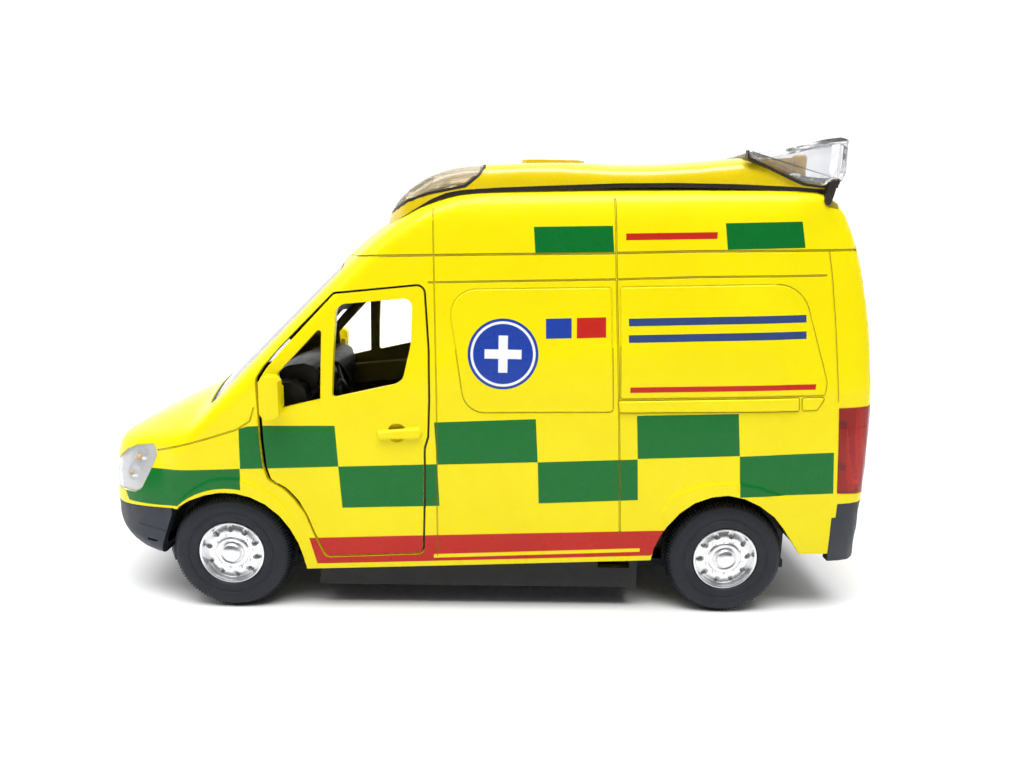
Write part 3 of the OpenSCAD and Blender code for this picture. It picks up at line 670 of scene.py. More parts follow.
# the front door: a hinge barrel and a rail inside, a pull handle outside
def lathe(name, profile, seg=64, axis="z", cap=True):
    """Turns (radius, height) points into a closed solid."""
    n = len(profile)
    v, f = [], []
    for k in range(seg):
        a = 2 * math.pi * k / seg
        for r, h in profile:
            v.append((r * math.cos(a), r * math.sin(a), h))
    for k in range(seg):
        k2 = (k + 1) % seg
        for i in range(n - 1):
            f.append((k * n + i, k2 * n + i, k2 * n + i + 1, k * n + i + 1))
    if profile[0][0] > 1e-6 and profile[-1][0] > 1e-6:
        f += [(k * n + n - 1, ((k + 1) % seg) * n + n - 1, ((k + 1) % seg) * n, k * n) for k in range(seg)]
    ob = mesh_object(name, v, f)
    return clean(ob)


def rod(name, a, b, r, seg=24, round_end=0.0):
    """A round bar from a to b."""
    a, b = Vector(a), Vector(b)
    h = (b - a).length
    e = round_end
    prof = [(0, 0), (r - e, 0), (r, e), (r, h - e), (r - e, h), (0, h)] if e > 0 else [(0, 0), (r, 0), (r, h), (0, h)]
    ob = lathe(name, prof, seg)
    q = (b - a).to_track_quat("Z", "Y").to_matrix().to_4x4()
    ob.data.transform(Matrix.Translation(a * MM) @ q)
    return ob


def soft_box(name, lo, hi, r, seg=3):
    """A box with rounded edges."""
    lo, hi = np.array(lo, float), np.array(hi, float)
    bm = bmesh.new()
    bmesh.ops.create_cube(bm, size=1)
    for v in bm.verts:
        v.co = Vector((lo + hi) / 2) + Vector([c * s for c, s in zip(v.co, hi - lo)])
    bmesh.ops.bevel(bm, geom=bm.edges[:], offset=r, segments=seg, affect="EDGES", profile=0.5)
    me = bpy.data.meshes.new(name)
    bm.to_mesh(me)
    bm.free()
    me.transform(Matrix.Scale(MM, 4))
    ob = bpy.data.objects.new(name, me)
    bpy.context.scene.collection.objects.link(ob)
    return ob


def bevel(ob, width, seg=2, angle=30, limit=True):
    m = ob.modifiers.new("bv", "BEVEL")
    m.width = width * MM
    m.segments = seg
    m.limit_method = "ANGLE"
    m.angle_limit = math.radians(angle)
    m.use_clamp_overlap = True
    apply_mod(ob)
    return ob


def soft_prism(name, pts, axis, lo, hi, width=0.25, seg=2, angle=30):
    return bevel(prism(name, pts, axis, lo, hi), width, seg, angle)


def smooth_ob(ob, angle=35):
    ob.data.shade_smooth()
    ob.data.set_sharp_from_angle(angle=math.radians(angle))
    return ob


handle_line = rounded([(12.0, 37.65), (20.4, 37.35), (20.75, 38.3), (20.6, 39.25), (12.2, 40.05), (11.5, 39.0)],
                      [0.7, 0.4, 0.6, 0.4, 0.6, 0.8])
recess = rounded([(14.9, 37.3), (18.3, 37.2), (18.4, 40.35), (15.0, 40.5)], 1.5)
boolean(front_door, slab("recess", recess, 0.02, -0.7, 0.6, 0.9, 0.5))
boolean(front_door, slab("handle", handle_line, 0.12, 0.78, -0.5, 0.55, 0.5), "UNION")
cut_handle = prism("c", rounded([(14.95, 36.95), (18.45, 36.8), (18.4, 40.55), (14.9, 40.7)], 1.6), "y", 29.0, 30.25)
boolean(front_door, cut_handle)
boolean(front_door, slab("rail", [(13, 38), (39, 36), (39.4, 41.4), (13, 44)], -2.3, -2.6, -1.4, 0.3, 1.5), "UNION")
barrel = rod("barrel", (41.2, 29, 29.4), (41.2, 29, 49.4), 1.1, 20)
boolean(barrel, body_solid("limit", -0.5, 60, 120, 20), "INTERSECT")
boolean(front_door, barrel, "UNION")
boolean(front_door, rod("bore", (41.2, 29, 20), (41.2, 29, 48.6), 0.46, 16))
shade(front_door, 0, 1, dark=(14.6, 18.7, 36.8, 40.8))
rename(front_door, "front_door_left_skin")
front_door_r = duplicate(front_door, "front_door_right_skin", True)
shade(rear_door, 0, 1)
rear_door_r = duplicate(rear_door, "rear_door_right_skin", True)


# ---------------------------------------------------------------- skin pieces
def skin_piece(name, region, t0, t1, nx=110, nphi=220, ends=34):
    """The layer of the body's form between two depths, inside a region."""
    ob = body_solid(name, -t0, nx, nphi, ends)
    for r in region:
        boolean(ob, r, "INTERSECT")
    boolean(ob, body_solid("in", -t1, 60, 120, 20))
    return ob


windscreen = skin_piece("windscreen_glass", [ws_prism("c", offset_poly(ws_line, -0.05), -6, 12)], 0.3, 1.6)
shade(windscreen, 0, None)
seal_out = skin_piece("windscreen_seal", [ws_prism("c", offset_poly(ws_line, -0.03), -6, 12)], 0.2, 1.6)
boolean(seal_out, ws_prism("c", offset_poly(ws_line, -1.0), -8, 14))
shade(seal_out, 0, None)

grille = skin_piece("grille_panel", [prism("c", offset_poly(grille_line, -0.08), "x", 70, 90)], 0.5, 2.2)
for z in (24.6, 26.1, 27.6, 29.1):
    w = 14.4 if z < 26 else 15.0
    boolean(grille, slab("slot", rounded([(-w, z - 0.42), (w, z - 0.42), (w, z + 0.42), (-w, z + 0.42)], 0.4), -1.5, -1.5, 0.6, 0, 1.4, 1, "front"))
shade(grille, 0, None)
badge = rod("grille_disc", (78.9, 0, 26.9), (80.2, 0, 26.9), 2.5, 48, 0.35)
smooth_ob(badge)

bumper_zone = [(62.75, 21.75), (62.7, 20.6), (65.8, 12.4), (66.4, 10.9), (66.5, 2), (92, 2), (92, 20.75), (75, 21.05), (70, 21.5)]
front_bumper = skin_piece("front_bumper_cover", [prism("c", bumper_zone, "y", -40, 40)], 0.05, 2.2)
bl = []
for s in (1, -1):
    bl.append(tube("l", on_side([(70.4, 17.55), (66.6, 17.0), (63.2, 16.5)], s), 0.2))
    bl.append(slab("l", rounded([(68.9, 14.75), (66.6, 14.5), (66.5, 13.95), (68.8, 14.15)], 0.25), -0.5, -0.5, 0.5, 0, 0.5, s))
bl.append(slab("l", rounded([(-13, 12.6), (13, 12.6), (12, 16.4), (-12, 16.4)], 1.2), 0.02, -1.1, 0.8, 1.0, 1.2, 1, "front"))
for z in (13.7, 15.0):
    pass
for b in bl:
    boolean(front_bumper, b)
shade(front_bumper, 0, None)

corner = [(-84, 12), (-72.45, 12), (-72.15, 21.8), (-73.0, 21.9), (-73.0, 24.85), (-84, 25.2)]
rear_bumper_parts = []
for s in (1, -1):
    o = skin_piece("rb", [prism("c", corner, "y", *((25.6, 40) if s > 0 else (-40, -25.6)))], 0.05, 2.2)
    rear_bumper_parts.append(o)
o = skin_piece("rb", [prism("c", rounded([(-84, 12), (-74.65, 12), (-74.65, 18.5), (-84, 18.5)], 0.4), "y", -25.58, 25.58)], 0.05, 2.2)
tread = []
for z in (14.4, 15.5, 16.6):
    tread.append(slab("t", rounded([(-22, z - 0.22), (22, z - 0.22), (22, z + 0.22), (-22, z + 0.22)], 0.2), -0.3, -0.3, 0.5, 0, 2.0, 1, "rear"))
for t in tread:
    boolean(o, t)
rear_bumper_parts.append(o)
rear_bumper = join_solids(rear_bumper_parts, "rear_bumper_cover")
shade(rear_bumper, 0, None)


def lamp_pair(maker):
    left = maker()
    return [(o, duplicate(o, o.name.replace("left", "right"), True)) for o in left]


def head_parts():
    cut = lambda d, y: [prism("c", offset_poly(head_line, -d), "y", y, 40), prism("c", [(60, 10), (90, 10), (90, 50), (60, 50)], "y", 0, 40)]
    lens = skin_piece("headlamp_lens_left", cut(0.06, 17.5), 0.05, 0.8)
    shade(lens, 0, None)
    bowl = skin_piece("headlamp_bowl_left", cut(0.1, 17.55), 1.0, 3.1)
    for c, r, q in (((70.2, 25.6, 31.6), 1.6, (0.6, 0.78, 0.1)), ((72.4, 25.0, 28.0), 1.75, (0.65, 0.74, 0.05)), ((76.3, 20.9, 27.2), 1.5, (0.9, 0.42, 0.1))):
        prof = [(0, -1.6)] + [(r * math.sin(a), -1.6 * math.cos(a)) for a in np.linspace(0.15, math.pi / 2, 9)] + [(r, 2.2), (0, 2.2)]
        d = lathe("dish", prof, 36)
        m = Vector(q).normalized().to_track_quat("Z", "Y").to_matrix().to_4x4()
        p = Vector(c)
        surf = on_skin([(p.x, p.z)])[0][0]
        base = Vector((p.x, min(p.y, surf[1]) , p.z)) - Vector(q).normalized() * 0.9
        d.data.transform(Matrix.Translation(base * MM) @ m)
        boolean(bowl, d)
    smooth_ob(bowl, 40)
    bulbs = []
    for c, r in (((70.0, 25.4, 31.5), 0.55), ((71.9, 24.9, 27.9), 0.5)):
        bm = bmesh.new()
        bmesh.ops.create_uvsphere(bm, u_segments=20, v_segments=12, radius=r * MM)
        bmesh.ops.translate(bm, verts=bm.verts, vec=Vector(c) * MM)
        me = bpy.data.meshes.new("b")
        bm.to_mesh(me)
        bm.free()
        ob = bpy.data.objects.new("b", me)
        bpy.context.scene.collection.objects.link(ob)
        bulbs.append(ob)
    bulb = join_solids(bulbs, "headlamp_bulbs_left")
    smooth_ob(bulb)
    return [lens, bowl, bulb]


head = lamp_pair(head_parts)


def tail_parts():
    zone = [prism("c", offset_poly(tail_line, -0.06), "y", 25.78, 40)]
    lens = skin_piece("tail_lens_left", zone, -0.1, 1.6)
    boolean(lens, tube("l", on_side([(-70.9, 40.9), (-74, 41.05), (-77.4, 41.2), (-79.6, 41.3)], 1, 0.12), 0.16))
    shade(lens, 0, None)
    back = skin_piece("tail_back_left", [prism("c", offset_poly(tail_line, -0.12), "y", 25.8, 40)], 1.65, 3.1)
    shade(back, 0, None)
    posts = []
    for x, z in ((-72.75, 41.6), (-73.35, 32.6)):
        p, n = on_skin([(x, z)])
        p, n = Vector(p[0]), Vector(n[0])
        posts.append(rod("p", p - n * 1.75, p - n * 0.35, 0.62, 20, 0.12))
    post = join_solids(posts, "tail_posts_left")
    smooth_ob(post)
    return [lens, back, post]


tail = lamp_pair(tail_parts)

rear_glass_l = skin_piece("rear_window_glass_left", [prism("c", offset_poly(rear_glass, -0.06), "x", -90, -68)], 0.5, 1.6)
shade(rear_glass_l, 0, None)
rear_glass_r = duplicate(rear_glass_l, "rear_window_glass_right", True)

# door mirror: a rounded arm and housing
housing = soft_prism("door_mirror_left", rounded([(38.5, 42.9), (39.4, 42.2), (41.4, 42.0), (42.2, 43.2), (42.2, 49.4), (41.3, 50.55), (39.2, 50.45), (38.5, 49.4)], 0.8),
                     "y", 31.35, 34.35, 0.75, 4, 40)
arm = soft_prism("arm", [(38.7, 43.7), (41, 43.2), (41, 48), (38.7, 48)], "y", 29.0, 32.2, 0.3, 3)
boolean(housing, arm, "UNION")
boolean(housing, body_solid("c", 0.03, 90, 180, 30))
smooth_ob(housing, 40)
housing_r = duplicate(housing, "door_mirror_right", True)

# ---------------------------------------------------------------- roof lights
fair_front = [(21.6, 60), (21.7, 75.8), (21.0, 78.6), (20.0, 80.9), (18.6, 83.1), (16.6, 85.2), (14.2, 87.1), (11.4, 88.8), (8.4, 90.1),
              (5.2, 90.9), (1.5, 91.35), (-3, 91.6), (-9, 91.95), (-140, 99)]
P_FF = planes(chaikin(fair_front, 1, False).tolist() + [(-140, 60)])
top_pts = chaikin([(-74, 95.8), (-62, 94.6), (-54, 93.9), (-46, 92.95), (-38, 92.15), (-32, 91.8), (-26, 91.7), (-20, 91.85),
                   (-15, 92.05), (-9, 91.95), (-3, 91.6), (2, 91.35), (6, 90.8), (10, 89.6), (14, 87.6), (18, 84), (21, 79.5), (23, 75)], 2, False)
P_FP = planes(chaikin([(-70.4, -8), (-70.4, 0), (-70.3, 19.5), (-69.4, 22.4), (-66.8, 24.0), (-62, 24.6), (6, 24.6), (11.8, 24.0),
                       (15.4, 22.4), (17.9, 19.4), (20, 15), (21.3, 8), (21.9, 0), (21.9, -8)][::-1], 2, False))
P_FC = planes(chaikin([(-6, -40), (24.2, -40), (24.45, -7), (24.6, -5.2), (24.55, -4.0), (24.1, -2.6), (23.0, -1.35), (21.0, -0.45),
                       (18, 0.05), (10, 0.35), (0, 0.5), (-6, 0.5)], 2, False))


def F_fair(p, bulge=0.0):
    x, y, z = p[..., 0], np.abs(p[..., 1]), p[..., 2]
    zt = np.interp(x, top_pts[:, 0], top_pts[:, 1])
    front = hull_d(P_FF, x, z)
    cross = np.maximum(hull_d(P_FC, y, z - zt), z - zt - 1.4)
    plan = hull_d(P_FP, x, y)
    return rmax(rmax(cross, plan, 2.0), front, 1.2)


FAIR_AXIS = [(-66, 0, 78), (12, 0, 76)]


def fair_solid(name, level=0.0, nx=110, nphi=200, ends=24):
    return made_once(("fair", level, nx, nphi, ends), name,
                     lambda: ray_solid(name, F_fair, FAIR_AXIS, nx, nphi, level, ends))


fair_low = [(21.6, 76.3), (19.3, 77.8), (16.2, 79.8), (13.3, 81.5), (10.4, 83.25), (7.5, 84.5), (4.7, 85.1), (0.8, 85.45), (-3, 85.75),
            (-14.5, 86.4), (-26, 87.0), (-37.6, 87.3), (-49.2, 87.3), (-60.9, 87.0), (-65.8, 86.7), (-73, 86.4)]
low = lambda d: [(x, z + d) for x, z in fair_low]
lens_f = rounded([(-0.2, 90.3), (1.0, 88.5), (3.6, 86.4), (10.7, 84.9), (14.8, 83.5), (19.4, 80.9), (30, 84), (20, 99), (1, 99)],
                 [0.5, 1.0, 1.4, 6, 6, 0.6, 0, 0, 0.5])
lens_r = rounded([(-48.9, 94.2), (-55, 91.75), (-59.1, 89.9), (-62.1, 88.75), (-65.2, 88.45), (-68.9, 88.5), (-69.9, 89.4), (-71.0, 91.2),
                  (-71.9, 93.6), (-71.7, 95.6), (-70.4, 96.9), (-68.4, 97.2), (-64.8, 96.65), (-60, 95.25), (-54.2, 94.25)],
                 [0.5, 6, 6, 3, 3, 0.8, 1, 2, 1.5, 1.5, 1.5, 1.5, 4, 6, 6])
fairing = fair_solid("roof_fairing_cover")
boolean(fairing, prism("c", [(-90, 110), (-90, 87.15)] + low(0.75)[::-1] + [(40, 77), (40, 110)], "y", -40, 40), "INTERSECT")
roof_cut = body_solid("rc", 0.03, 90, 180, 30)
boolean(fairing, roof_cut, keep=True)
pad = soft_prism("pad", rounded([(-7.4, -9), (-7.4, 9), (-21.0, 9), (-21.0, -9)][::-1], 3.5), "z", 90.0, 93.05, 1.25, 5, 50)
boolean(fairing, pad, "UNION")
boolean(fairing, prism("c", lens_f, "y", -40, 40))
boolean(fairing, prism("c", [(x, z) for x, z in offset_poly(lens_r, 0.75)], "y", -40, 40))
smooth_ob(fairing, 40)
gasket = fair_solid("roof_fairing_gasket", -0.3, 90, 160, 20)
boolean(gasket, prism("c", [(-69.8, 86.6)] + low(0.9)[::-1][1:] + [(21.4, 76.2)] + low(-0.1)[:-1], "y", -40, 40), "INTERSECT")
boolean(gasket, roof_cut, keep=True)
inner_g = fair_solid("ig", -2.2, 90, 160, 20)
boolean(gasket, inner_g)
# dark rims around both lenses, and the small clip at the rear corner
rim_f = fair_solid("front_lens_rim", 0.06, 90, 160, 20)
boolean(rim_f, prism("c", offset_poly(lens_f, -0.02), "y", -40, 40), "INTERSECT")
boolean(rim_f, prism("c", offset_poly(lens_f, -0.5), "y", -40, 40))
boolean(rim_f, roof_cut, keep=True)
boolean(rim_f, fair_solid("ig", -1.6, 80, 140, 20))
rim_r = prism("rim_r", offset_poly(lens_r, 0.78), "y", -24.35, 24.35)
boolean(rim_r, prism("c", offset_poly(lens_r, 0.3), "y", -40, 40))
boolean(rim_r, prism("c", [(-47.0, 95.9), (-55, 92.4), (-60, 90.3), (-64, 89.2), (-69.3, 89.2), (-69.3, 84), (-80, 84), (-80, 105), (-46, 105)], "y", -40, 40))
boolean(rim_r, prism("c", [(-90, 80), (-40, 80), (-40, 110), (-90, 110)], "y", -22.9, 22.9))
boolean(rim_r, prism("c", [(-50.4, 80), (-40, 80), (-40, 110), (-50.4, 110)], "y", -40, 40))
boolean(rim_r, roof_cut, keep=True)
clips = []
for s in (1, -1):
    clips.append(soft_prism("clip", rounded([(-68.0, 88.9), (-66.6, 88.9), (-66.0, 86.6), (-65.8, 85.0), (-66.3, 84.15), (-67.0, 84.6), (-67.5, 86.4)], 0.45),
                            "y", *((23.6, 25.35) if s > 0 else (-25.35, -23.6)), 0.3, 2))
    clips.append(rod("knob", (-68.1, s * 24.9, 88.8), (-68.1, s * 22.0, 88.8), 0.7, 20, 0.3))
for c in clips:
    boolean(c, roof_cut, keep=True)
    boolean(gasket, c, "UNION")
boolean(gasket, rim_f, "UNION")
boolean(gasket, rim_r, "UNION")
for s in (1, -1):
    boolean(gasket, prism("c", [(-90, 80), (-68.5, 80), (-68.5, 88.0), (-69.0, 110), (-90, 110)], "y", *((22.9, 40) if s > 0 else (-40, -22.9))))
smooth_ob(gasket, 40)

front_lens = fair_solid("front_beacon_cover", -0.03, 110, 200, 24)
boolean(front_lens, prism("c", offset_poly(lens_f, -0.52), "y", -40, 40), "INTERSECT")
boolean(front_lens, roof_cut, keep=True)
boolean(front_lens, fair_solid("ig", -1.1, 80, 140, 20))
smooth_ob(front_lens, 40)
front_glow = fair_solid("front_beacon_bowl", -1.6, 80, 140, 20)
boolean(front_glow, prism("c", offset_poly(lens_f, -0.9), "y", -40, 40), "INTERSECT")
boolean(front_glow, body_solid("c", 0.03, 90, 180, 30))
cups = []
for s in (1, -1):
    for x, y, z, r in ((12.6, 15.5, 84.9, 2.7), (6.6, 19.6, 88.0, 2.2), (15.4, 6.2, 83.2, 2.7)):
        q = Vector((0.62, s * (0.55 if y > 10 else 0.1), 0.62)).normalized()
        d = lathe("cup", [(0, -1.9)] + [(r * math.sin(a), -1.9 * math.cos(a)) for a in np.linspace(0.15, math.pi / 2, 8)] + [(r, 5), (0, 5)], 32)
        d.data.transform(Matrix.Translation(Vector((x, s * y, z)) * MM) @ q.to_track_quat("Z", "Y").to_matrix().to_4x4())
        boolean(front_glow, d)
smooth_ob(front_glow, 40)

rear_lens = prism("rear_beacon_cover", lens_r, "y", -24.2, 24.2)
plan_r = rounded([(-47, -24.2), (-66.4, -24.2), (-70.6, -22.6), (-72.2, -18), (-72.2, 18), (-70.6, 22.6), (-66.4, 24.2), (-47, 24.2)][::-1], [0, 6, 3, 4, 4, 3, 6, 0])
boolean(rear_lens, prism("c", plan_r, "z", 80, 110), "INTERSECT")
bevel(rear_lens, 0.5, 3, 35)
boolean(rear_lens, roof_cut, keep=True)
hollow = prism("c", offset_poly(lens_r, -1.15), "y", -22.6, 22.6)
boolean(hollow, prism("c", offset_poly(plan_r, -1.3), "z", 80, 110), "INTERSECT")
boolean(rear_lens, hollow)
smooth_ob(rear_lens, 35)
refl = []
for s in (1, -1):
    refl.append(soft_prism("r", rounded([(-52.9, 92.95), (-55.2, 92.0), (-58.6, 90.75), (-60.3, 90.3), (-60.5, 93.4), (-56, 93.1)], 0.3), "y",
                           *((6, 21.6) if s > 0 else (-21.6, -6)), 0.3, 3))
    refl.append(rod("r", (-63.2, s * 17, 90.0), (-63.2, s * 17, 94.2), 1.45, 32, 0.4))
    refl.append(rod("r", (-63.2, s * 9, 90.0), (-63.2, s * 9, 94.2), 1.45, 32, 0.4))
refl = join_solids(refl, "beacon_amber_parts")
smooth_ob(refl)
drop(roof_cut)


# ---------------------------------------------------------------- wheels
TYRE_R, TYRE_W, FACE, RIM_R, AX = 12.3, 8.4, 29.2, 6.7, 51.0


def make_tyre(name):
    """Turned tyre with a toothed shoulder, sidewall steps and tread grooves; outer face at height 0."""
    half = [(RIM_R + 0.02, -0.75), (RIM_R + 0.06, -0.32), (RIM_R + 0.3, -0.08), (RIM_R + 0.75, 0.0), (8.3, -0.03), (8.42, -0.14), (8.75, -0.16),
            (8.88, -0.05), (9.6, -0.03), (10.2, -0.1), (10.75, -0.26), (10.95, -0.3), (11.05, -0.42), (11.35, -0.55), (11.62, -0.75), (11.86, -1.0),
            (12.06, -1.35), (12.2, -1.75), (TYRE_R, -2.2), (TYRE_R, -2.75), (12.05, -2.82), (12.05, -3.05), (TYRE_R, -3.12), (TYRE_R, -4.0), (12.0, -4.06), (12.0, -4.2)]
    prof = half + [(r, -TYRE_W - h) for r, h in half[::-1][1:]]
    teeth, per = 108, 4
    seg = teeth * per
    n = len(prof)
    r0 = np.array([q[0] for q in prof])
    h0 = np.array([q[1] for q in prof])
    depth = 0.26 * smooth(11.2, 11.75, r0) * (np.abs(h0 + TYRE_W / 2) > 1.0)
    v, f = [], []
    for k in range(seg):
        a = 2 * math.pi * k / seg
        cut = depth * (1.0 if k % per in (0, 1) else 0.0)
        r = r0 - cut
        v += [(rr * math.cos(a), rr * math.sin(a), hh) for rr, hh in zip(r, h0)]
    for k in range(seg):
        k2 = (k + 1) % seg
        f += [(k * n + i, k2 * n + i, k2 * n + i + 1, k * n + i + 1) for i in range(n - 1)]
        f.append((k * n + n - 1, k2 * n + n - 1, k2 * n, k * n))
    ob = mesh_object(name, v, f)
    return clean(ob)


def make_rim(name):
    """Bright wheel: lip, dish with ten slots, a ring of studs and a domed cap."""
    prof = [(0, 0.55), (0.7, 0.52), (1.35, 0.4), (1.75, 0.16), (1.92, -0.2), (2.0, -0.62), (2.2, -0.72), (2.38, -0.62), (2.55, -0.5), (3.0, -0.5),
            (3.25, -0.62), (3.5, -0.86), (3.8, -0.92), (4.1, -0.86), (4.35, -0.84), (5.0, -1.06), (5.6, -1.34), (5.82, -1.36), (5.96, -1.1),
            (6.06, -0.55), (6.2, -0.26), (6.4, -0.16), (6.58, -0.22), (6.68, -0.5), (6.68, -TYRE_W + 0.4), (5.95, -TYRE_W + 0.4), (5.8, -2.5), (2.75, -2.7),
            (2.6, -5.2), (0, -5.2)]
    ob = lathe(name, prof, 144)
    for i in range(10):
        a = math.radians(36 * i + 9)
        w = math.radians(20)
        pts = [(0.62 * math.cos(t), 0.82 * math.sin(t)) for t in np.linspace(0, 2 * math.pi, 20, endpoint=False)]
        q = [(x * math.cos(w) - y * math.sin(w), x * math.sin(w) + y * math.cos(w)) for x, y in pts]
        # the slot's long side leans round the wheel, as a turbine blade does
        c = (5.02 * math.cos(a), 5.02 * math.sin(a))
        rot = a + math.pi / 2
        o = [(c[0] + x * math.cos(rot) - y * math.sin(rot), c[1] + x * math.sin(rot) + y * math.cos(rot)) for x, y in q]
        boolean(ob, prism("c", o, "z", -2.15, 2))
    studs = []
    for i in range(10):
        a = math.radians(36 * i + 27)
        studs.append(rod("s", (3.78 * math.cos(a), 3.78 * math.sin(a), -1.1), (3.78 * math.cos(a), 3.78 * math.sin(a), -0.62), 0.34, 12, 0.12))
    for sx in studs:
        boolean(ob, sx, "UNION")
    boolean(ob, rod("b", (0, 0, -9), (0, 0, -3.2), 1.22, 24))
    return ob


tyre0, rim0 = make_tyre("tyre0"), make_rim("rim0")
smooth_ob(tyre0, 28)
smooth_ob(rim0, 32)
back0 = lathe("back0", [(0, -2.85), (5.75, -2.66), (5.75, -2.9), (0, -3.1)][::-1], 48)
smooth_ob(back0)
wheels = []
for end, sx in (("front", 1), ("rear", -1)):
    for sname, sy in (("left", 1), ("right", -1)):
        m = Matrix.Translation(Vector((sx * AX, sy * FACE, TYRE_R)) * MM) @ Matrix.Rotation(math.radians(-90 * sy), 4, "X") @ \
            Matrix.Rotation(math.radians({("front", 1): 14, ("rear", 1): 31}.get((end, sy), 0)), 4, "Z")
        for src, base in ((tyre0, "tyre"), (rim0, "rim")):
            o = duplicate(src, "%s_%s_%s_form" % (base, end, sname))
            o.data.transform(m)
            wheels.append((o, end + "_wheelset", "%s_%s_%s" % (base, end, sname), base))
for o in (tyre0, rim0, back0):
    drop(o)

# ---------------------------------------------------------------- cab and load space
def loft_prism(name, pts, axis, lo, hi, width, seg=3, sub=0):
    o = soft_prism(name, pts, axis, lo, hi, width, seg, 25)
    return smooth_ob(o, 50)


seat_line = rounded([(12.4, 15.9), (25.3, 15.9), (26.2, 19.4), (26.6, 22.4), (25.2, 24.6), (22, 24.9), (14.0, 23.4), (12.2, 34), (11.6, 42), (10.6, 44.6),
                     (8.6, 44.6), (8.0, 43), (9.2, 24), (9.8, 16.2)], [0.5, 1, 1.5, 1.8, 1.5, 3, 1.5, 8, 3, 0.9, 0.9, 2, 4, 0.6])
head_seat = rounded([(8.2, 45.3), (10.6, 45.3), (10.9, 47.5), (10.5, 50.5), (8.7, 50.5), (8.1, 48)], [0.7, 0.8, 2, 0.9, 0.8, 2])


def make_seat(name, y0, y1, heads):
    o = soft_prism("s", seat_line, "y", y0, y1, 1.1, 4, 25)
    for k, y in enumerate(heads):
        w = 3.6
        boolean(o, soft_prism("h", head_seat, "y", y - w, y + w, 0.8, 3, 25), "UNION")
        for d in (-1.6, 1.6):
            boolean(o, rod("p", (9.5, y + d, 43.5), (9.5, y + d, 46.4), 0.3, 12), "UNION")
        # sewn channels on the cushion and the backrest
        for d in (-4.2, 4.2):
            boolean(o, soft_box("c", (11.35, y + d - 0.16, 27), (14.4, y + d + 0.16, 42), 0.1, 1))
            boolean(o, soft_box("c", (15.5, y + d - 0.16, 23.9), (24.0, y + d + 0.16, 26), 0.1, 1))
        for z in (30.5, 35, 39.5):
            boolean(o, soft_box("c", (11.3, y - 4.2, z - 0.14), (14.2, y + 4.2, z + 0.14), 0.1, 1))
    return rename(smooth_ob(o, 45), name)


driver_seat = make_seat("driver_seat_form", 6.5, 21.5, (14,))
bench = make_seat("passenger_seat_form", -22.5, 2.5, (-15, -4.6))

dash_line = rounded([(37.4, 27.6), (60, 27.6), (60.5, 33), (57, 39), (50, 44.4), (44, 47.1), (38.4, 47.5), (36.0, 46.6), (35.2, 43.6), (35.5, 40), (37.0, 36.5), (36.6, 31)],
                    [1, 1, 2, 4, 6, 6, 1.6, 1.4, 1.5, 2, 2, 2])
dash = soft_prism("dashboard_form", dash_line, "y", -25.0, 25.0, 0.5, 3, 25)
hood_line2 = rounded([(34.5, 45.2), (36.8, 44.6), (48, 44.6), (44, 48.2), (40, 50.2), (37, 50.7), (34.8, 50.0), (33.9, 48.2)], [0.8, 0.5, 1, 3, 3, 1.5, 1.2, 1.2])
boolean(dash, soft_prism("h", hood_line2, "y", 7.2, 20.8, 1.3, 4, 25), "UNION")
boolean(dash, soft_prism("h", rounded([(33.6, 45.7), (35.6, 45.2), (36.0, 49.3), (34.2, 49.3)], 0.4), "y", 8.6, 19.4, 0.3, 2))
for k, (a, b) in enumerate(((14, 2.1), (10.4, 1.2), (17.6, 1.2))):
    boolean(dash, rod("d", (36.3, a, 47.4), (35.45, a, 47.3), b, 28, 0.1), "UNION")
# centre console with its screen place, vents, lever and the glove box line
boolean(dash, soft_prism("c", rounded([(33.6, 29), (38, 28), (38, 45.5), (35.2, 45.2), (34.2, 40), (33.4, 34)], 0.8), "y", -4.6, 5.2, 0.7, 3, 25), "UNION")
boolean(dash, soft_box("c", (33.2, -3.2, 40.6), (35.0, 3.8, 44.2), 0.35, 2))
for z in (37.6, 35.4):
    for y in (-2.2, 0.3, 2.8):
        boolean(dash, rod("k", (34.6, y, z), (33.15, y, z), 0.72, 18, 0.15), "UNION")
boolean(dash, rod("lv", (33.6, 1.6, 32.2), (30.6, 2.6, 36.4), 0.34, 12), "UNION")
boolean(dash, rod("lk", (31.3, 2.35, 35.4), (30.3, 2.7, 36.9), 0.8, 16, 0.4), "UNION")
for y in (-22.2, -7.4, 6.2, 22.6):
    for j in range(4):
        boolean(dash, soft_box("v", (34.0, y - 1.5, 44.55 - j * 0.62), (36.1, y + 1.5, 44.85 - j * 0.62), 0.08, 1))
boolean(dash, soft_prism("gl", rounded([(33.5, 37.2), (36.4, 37.0), (36.4, 37.35), (33.5, 37.55)], 0.1), "y", -22.5, -6.5, 0.08, 1))
boolean(dash, rod("bore", (30.3 + 9.17 * 2.2, 14, 44.6 - 3.99 * 2.2), (30.3 + 9.17 * 0.13, 14, 44.6 - 3.99 * 0.13), 1.45, 24))
boolean(dash, body_solid("c", -2.2, 60, 120, 20), "INTERSECT")
smooth_ob(dash, 40)

wheel_m = Matrix.Translation(Vector((30.3, 14, 44.6)) * MM) @ Matrix.Rotation(math.radians(-66.5), 4, "Y")


def torus(name, R, r, nu=72, nv=14):
    v, f = [], []
    for i in range(nu):
        a = 2 * math.pi * i / nu
        for j in range(nv):
            b = 2 * math.pi * j / nv
            v.append(((R + r * math.cos(b)) * math.cos(a), (R + r * math.cos(b)) * math.sin(a), r * math.sin(b)))
    for i in range(nu):
        for j in range(nv):
            f.append((i * nv + j, ((i + 1) % nu) * nv + j, ((i + 1) % nu) * nv + (j + 1) % nv, i * nv + (j + 1) % nv))
    return clean(mesh_object(name, v, f))


